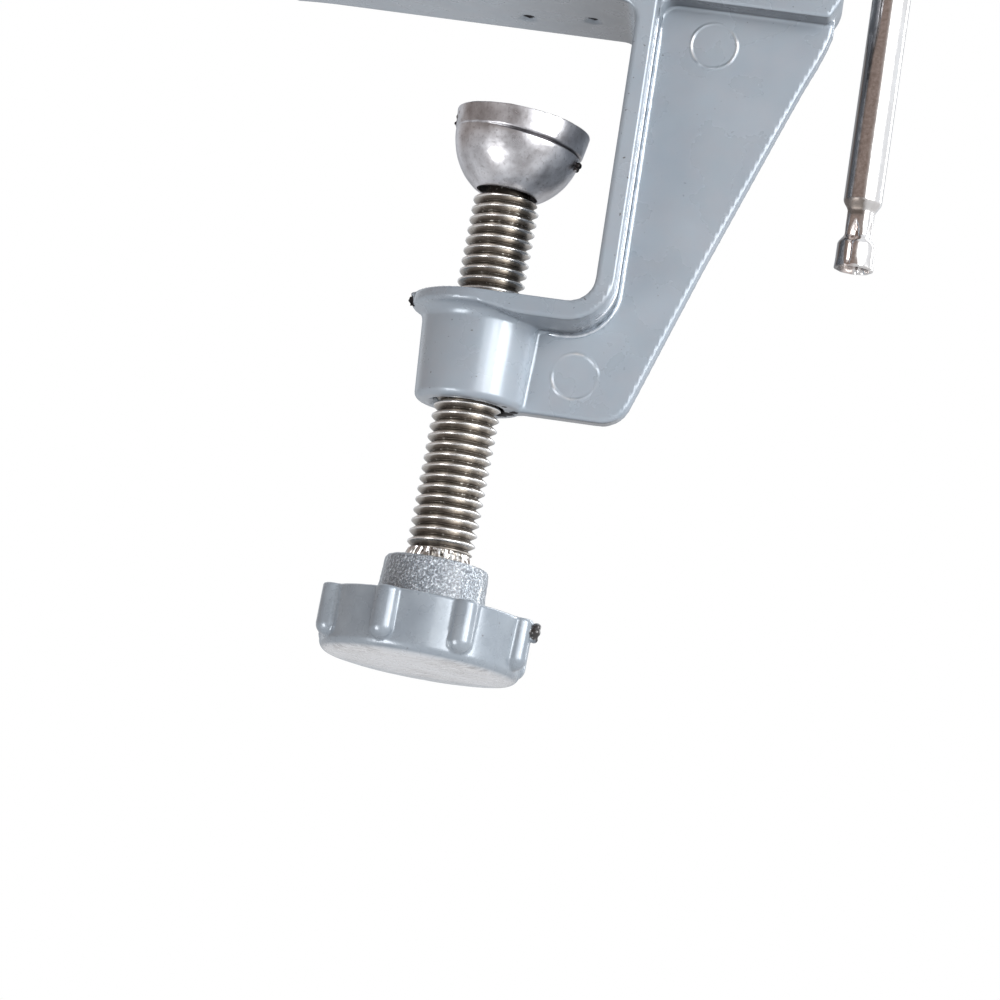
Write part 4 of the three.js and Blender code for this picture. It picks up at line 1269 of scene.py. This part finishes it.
def sliding_jaw(p):
    x, y, z = p[..., 0], p[..., 1], p[..., 2]
    side = np.abs(y)
    base = RAIL[1] + 0.15
    back = outline(x, z, [
        (SLIDE_FACE, base), (SLIDE_BACK, base), (SLIDE_BACK, LEAD_Z + 5),
        (SLIDE_FACE + 20, LEAD_Z + 9.5), (SLIDE_FACE + 12.5, jaw_top - 5.5),
        (SLIDE_FACE + 10.5, jaw_top - 2), (SLIDE_FACE + 9, jaw_top), (SLIDE_FACE, jaw_top)])
    body = both(back, side - SLIDE_HALF_W, 1.0)
    jaw = outline(side, z, [
        (-5, base), (SLIDE_HALF_W, base), (SLIDE_HALF_W, 16.4), (jaw_half_w - 1.5, 21.8),
        (jaw_half_w, 24.4), (jaw_half_w, jaw_top), (-5, jaw_top)])
    jaw = both(jaw, slab(x, SLIDE_FACE, SLIDE_FACE + 9.5), 1.0)
    body = either(body, jaw, 2.0)
    rho = length2(y, z - LEAD_Z)
    nose = both(both(rho - NOSE_R, slab(x, SLIDE_FACE + 12, NOSE_FRONT), 1.2), base - z, 0.3)
    body = either(body, nose, 1.5)
    skirt = both(slab(side, 9.35, SLIDE_HALF_W), slab(x, SLIDE_FACE, SLIDE_BACK - 0.5), 0.6)
    skirt = both(skirt, slab(z, KEEPER_Z[1] + SEAT_GAP, base + 1), 0.4)
    body = either(body, skirt, 0.3)
    pocket = block(p, (SLIDE_FACE + 6, JOURNAL_X0), (-7.5, 7.5), (RAIL[0], LEAD_Z + 6.6), 0.8)
    body = without(body, pocket, 0.3)
    body = without(body, rho - 4.4, 0.3)
    plate_holes = length2(side - PLATE_SCREW_Y, z - PLATE_SCREW_Z) - SCREW_HOLE_R
    body = without(body, both(plate_holes, x - SLIDE_FACE - 8))
    body = np.maximum(body, np.maximum(SLIDE_FACE - x, z - jaw_top))
    keeper_holes = np.minimum(*[length2(x - a, side - KEEPER_SCREW_Y) for a in KEEPER_SCREW_X])
    return without(body, both(keeper_holes - SCREW_HOLE_R, z - 14))


def build_sliding_jaw():
    paint = cast_paint("jaw_paint")
    piece = cast_piece("sliding_jaw_casting", sliding_jaw, slide_low, slide_high, CASTING_STEP, paint)
    finish_piece(piece, "sliding_jaw", "cast_paint", "sliding_jaw")


build_frame()
build_clamp_screw()
build_knob()
build_pad()
build_tommy_bar()
build_small_parts()
build_sliding_jaw()


# ---------------- camera

CAMERA_PLACE = (43.934, -456.369, -136.497)
CAMERA_RIGHT = (0.98668447, 0.05753967, 0.15212806)
CAMERA_UP = (-0.13981976, -0.17776260, 0.97408978)
CAMERA_LOOK = (-0.08309148, 0.98238976, 0.16735041)

camera_data = bpy.data.cameras.new("camera")
camera_data.sensor_width = 36
camera_data.lens = 144.6
camera_data.clip_start = 0.01
camera_data.clip_end = 20
camera = bpy.data.objects.new("camera", camera_data)
bpy.context.scene.collection.objects.link(camera)
camera.matrix_world = Matrix([
    (CAMERA_RIGHT[i], CAMERA_UP[i], -CAMERA_LOOK[i], CAMERA_PLACE[i] * MM) for i in range(3)
] + [(0, 0, 0, 1)])
bpy.context.scene.camera = camera


# ---------------- stage and lights

AIM = (0.01, 0, -0.03)
FLOOR_Z = -190
FLOOR_RADII = (2500, 1200, 600, 300, 150, 60, 5)
FLOOR_SIDES = 96
DIM_SIDE = (-0.86, -0.50, 0.0)


def floor_sheet():
    """A round pale floor below the knob."""
    rings = turned_rings([(r, FLOOR_Z) for r in FLOOR_RADII], FLOOR_SIDES)
    vertices, quads, ends = ring_grid(rings)
    paper = Nodes("paper", (0.9, 0.9, 0.9), 0.95, 0)
    grain = paper.ramp(paper.noise(4, 3), (0.3, (0.56, 0.56, 0.565)), (0.7, (0.60, 0.60, 0.60)))
    paper.shade(Base_Color=grain)
    new_piece("floor", vertices, [*quads, ends[1]], paper.material)


def studio_world():
    """White all round to the eye; as light it is dim and warm to the camera's left, grey ahead."""
    world = bpy.data.worlds.new("studio")
    world.use_nodes = True
    nodes, links = world.node_tree.nodes, world.node_tree.links
    background = nodes["Background"]
    direction = nodes.new("ShaderNodeTexCoord").outputs["Generated"]

    def towards(side, low, high):
        """0 to 1 as the direction turns to the side."""
        dot = nodes.new("ShaderNodeVectorMath")
        dot.operation = "DOT_PRODUCT"
        links.new(direction, dot.inputs[0])
        dot.inputs[1].default_value = side
        fade = nodes.new("ShaderNodeMapRange")
        fade.interpolation_type = "SMOOTHSTEP"
        fade.inputs["From Min"].default_value = low
        fade.inputs["From Max"].default_value = high
        links.new(dot.outputs["Value"], fade.inputs["Value"])
        return fade.outputs["Result"]

    def blended(amount, tone, color):
        """tone where the amount is 0 and color where it is 1."""
        blend = nodes.new("ShaderNodeMix")
        blend.data_type = "RGBA"
        links.new(amount, blend.inputs[0])
        links.new(tone, blend.inputs[6])
        blend.inputs[7].default_value = (*color, 1)
        return blend.outputs[2]

    sky = nodes.new("ShaderNodeRGB").outputs[0]
    sky.default_value = (0.93, 0.96, 1.0, 1)
    tone = blended(towards(DIM_SIDE, 0.05, 0.55), sky, (0.33, 0.285, 0.265))
    tone = blended(towards(CAMERA_LOOK, 0.80, 0.98), tone, (0.40, 0.43, 0.47))
    tone = blended(nodes.new("ShaderNodeLightPath").outputs["Is Camera Ray"], tone, (1, 1, 1))
    links.new(tone, background.inputs["Color"])
    bpy.context.scene.world = world


def softbox(name, place, aim, size, watts):
    """A white rectangular light at the place, in metres, that faces aim; the camera can't see it."""
    light = bpy.data.lights.new(name, "AREA")
    light.shape = "RECTANGLE"
    light.size, light.size_y = size
    light.energy = watts
    lamp = bpy.data.objects.new(name, light)
    bpy.context.scene.collection.objects.link(lamp)
    lamp.location = place
    lamp.rotation_mode = "QUATERNION"
    lamp.rotation_quaternion = (Vector(place) - Vector(aim)).to_track_quat("Z", "Y")
    lamp.visible_camera = False


floor_sheet()
studio_world()
softbox("key", (2.30, -1.53, 0.35), AIM, (1.1, 2.3), 52)
softbox("strip", (0.56, -0.83, 0.02), AIM, (0.22, 0.8), 1.6)
softbox("front", (1.57, -2.32, 0.30), AIM, (2.2, 2.2), 30)
softbox("rim", (1.65, 1.35, 1.35), AIM, (0.36, 2.7), 24)
softbox("low_fill", (-0.125, -0.150, -0.150), AIM, (0.09, 0.09), 0.16)
bpy.context.scene.view_settings.view_transform = "Standard"
bpy.context.scene.view_settings.look = "None"
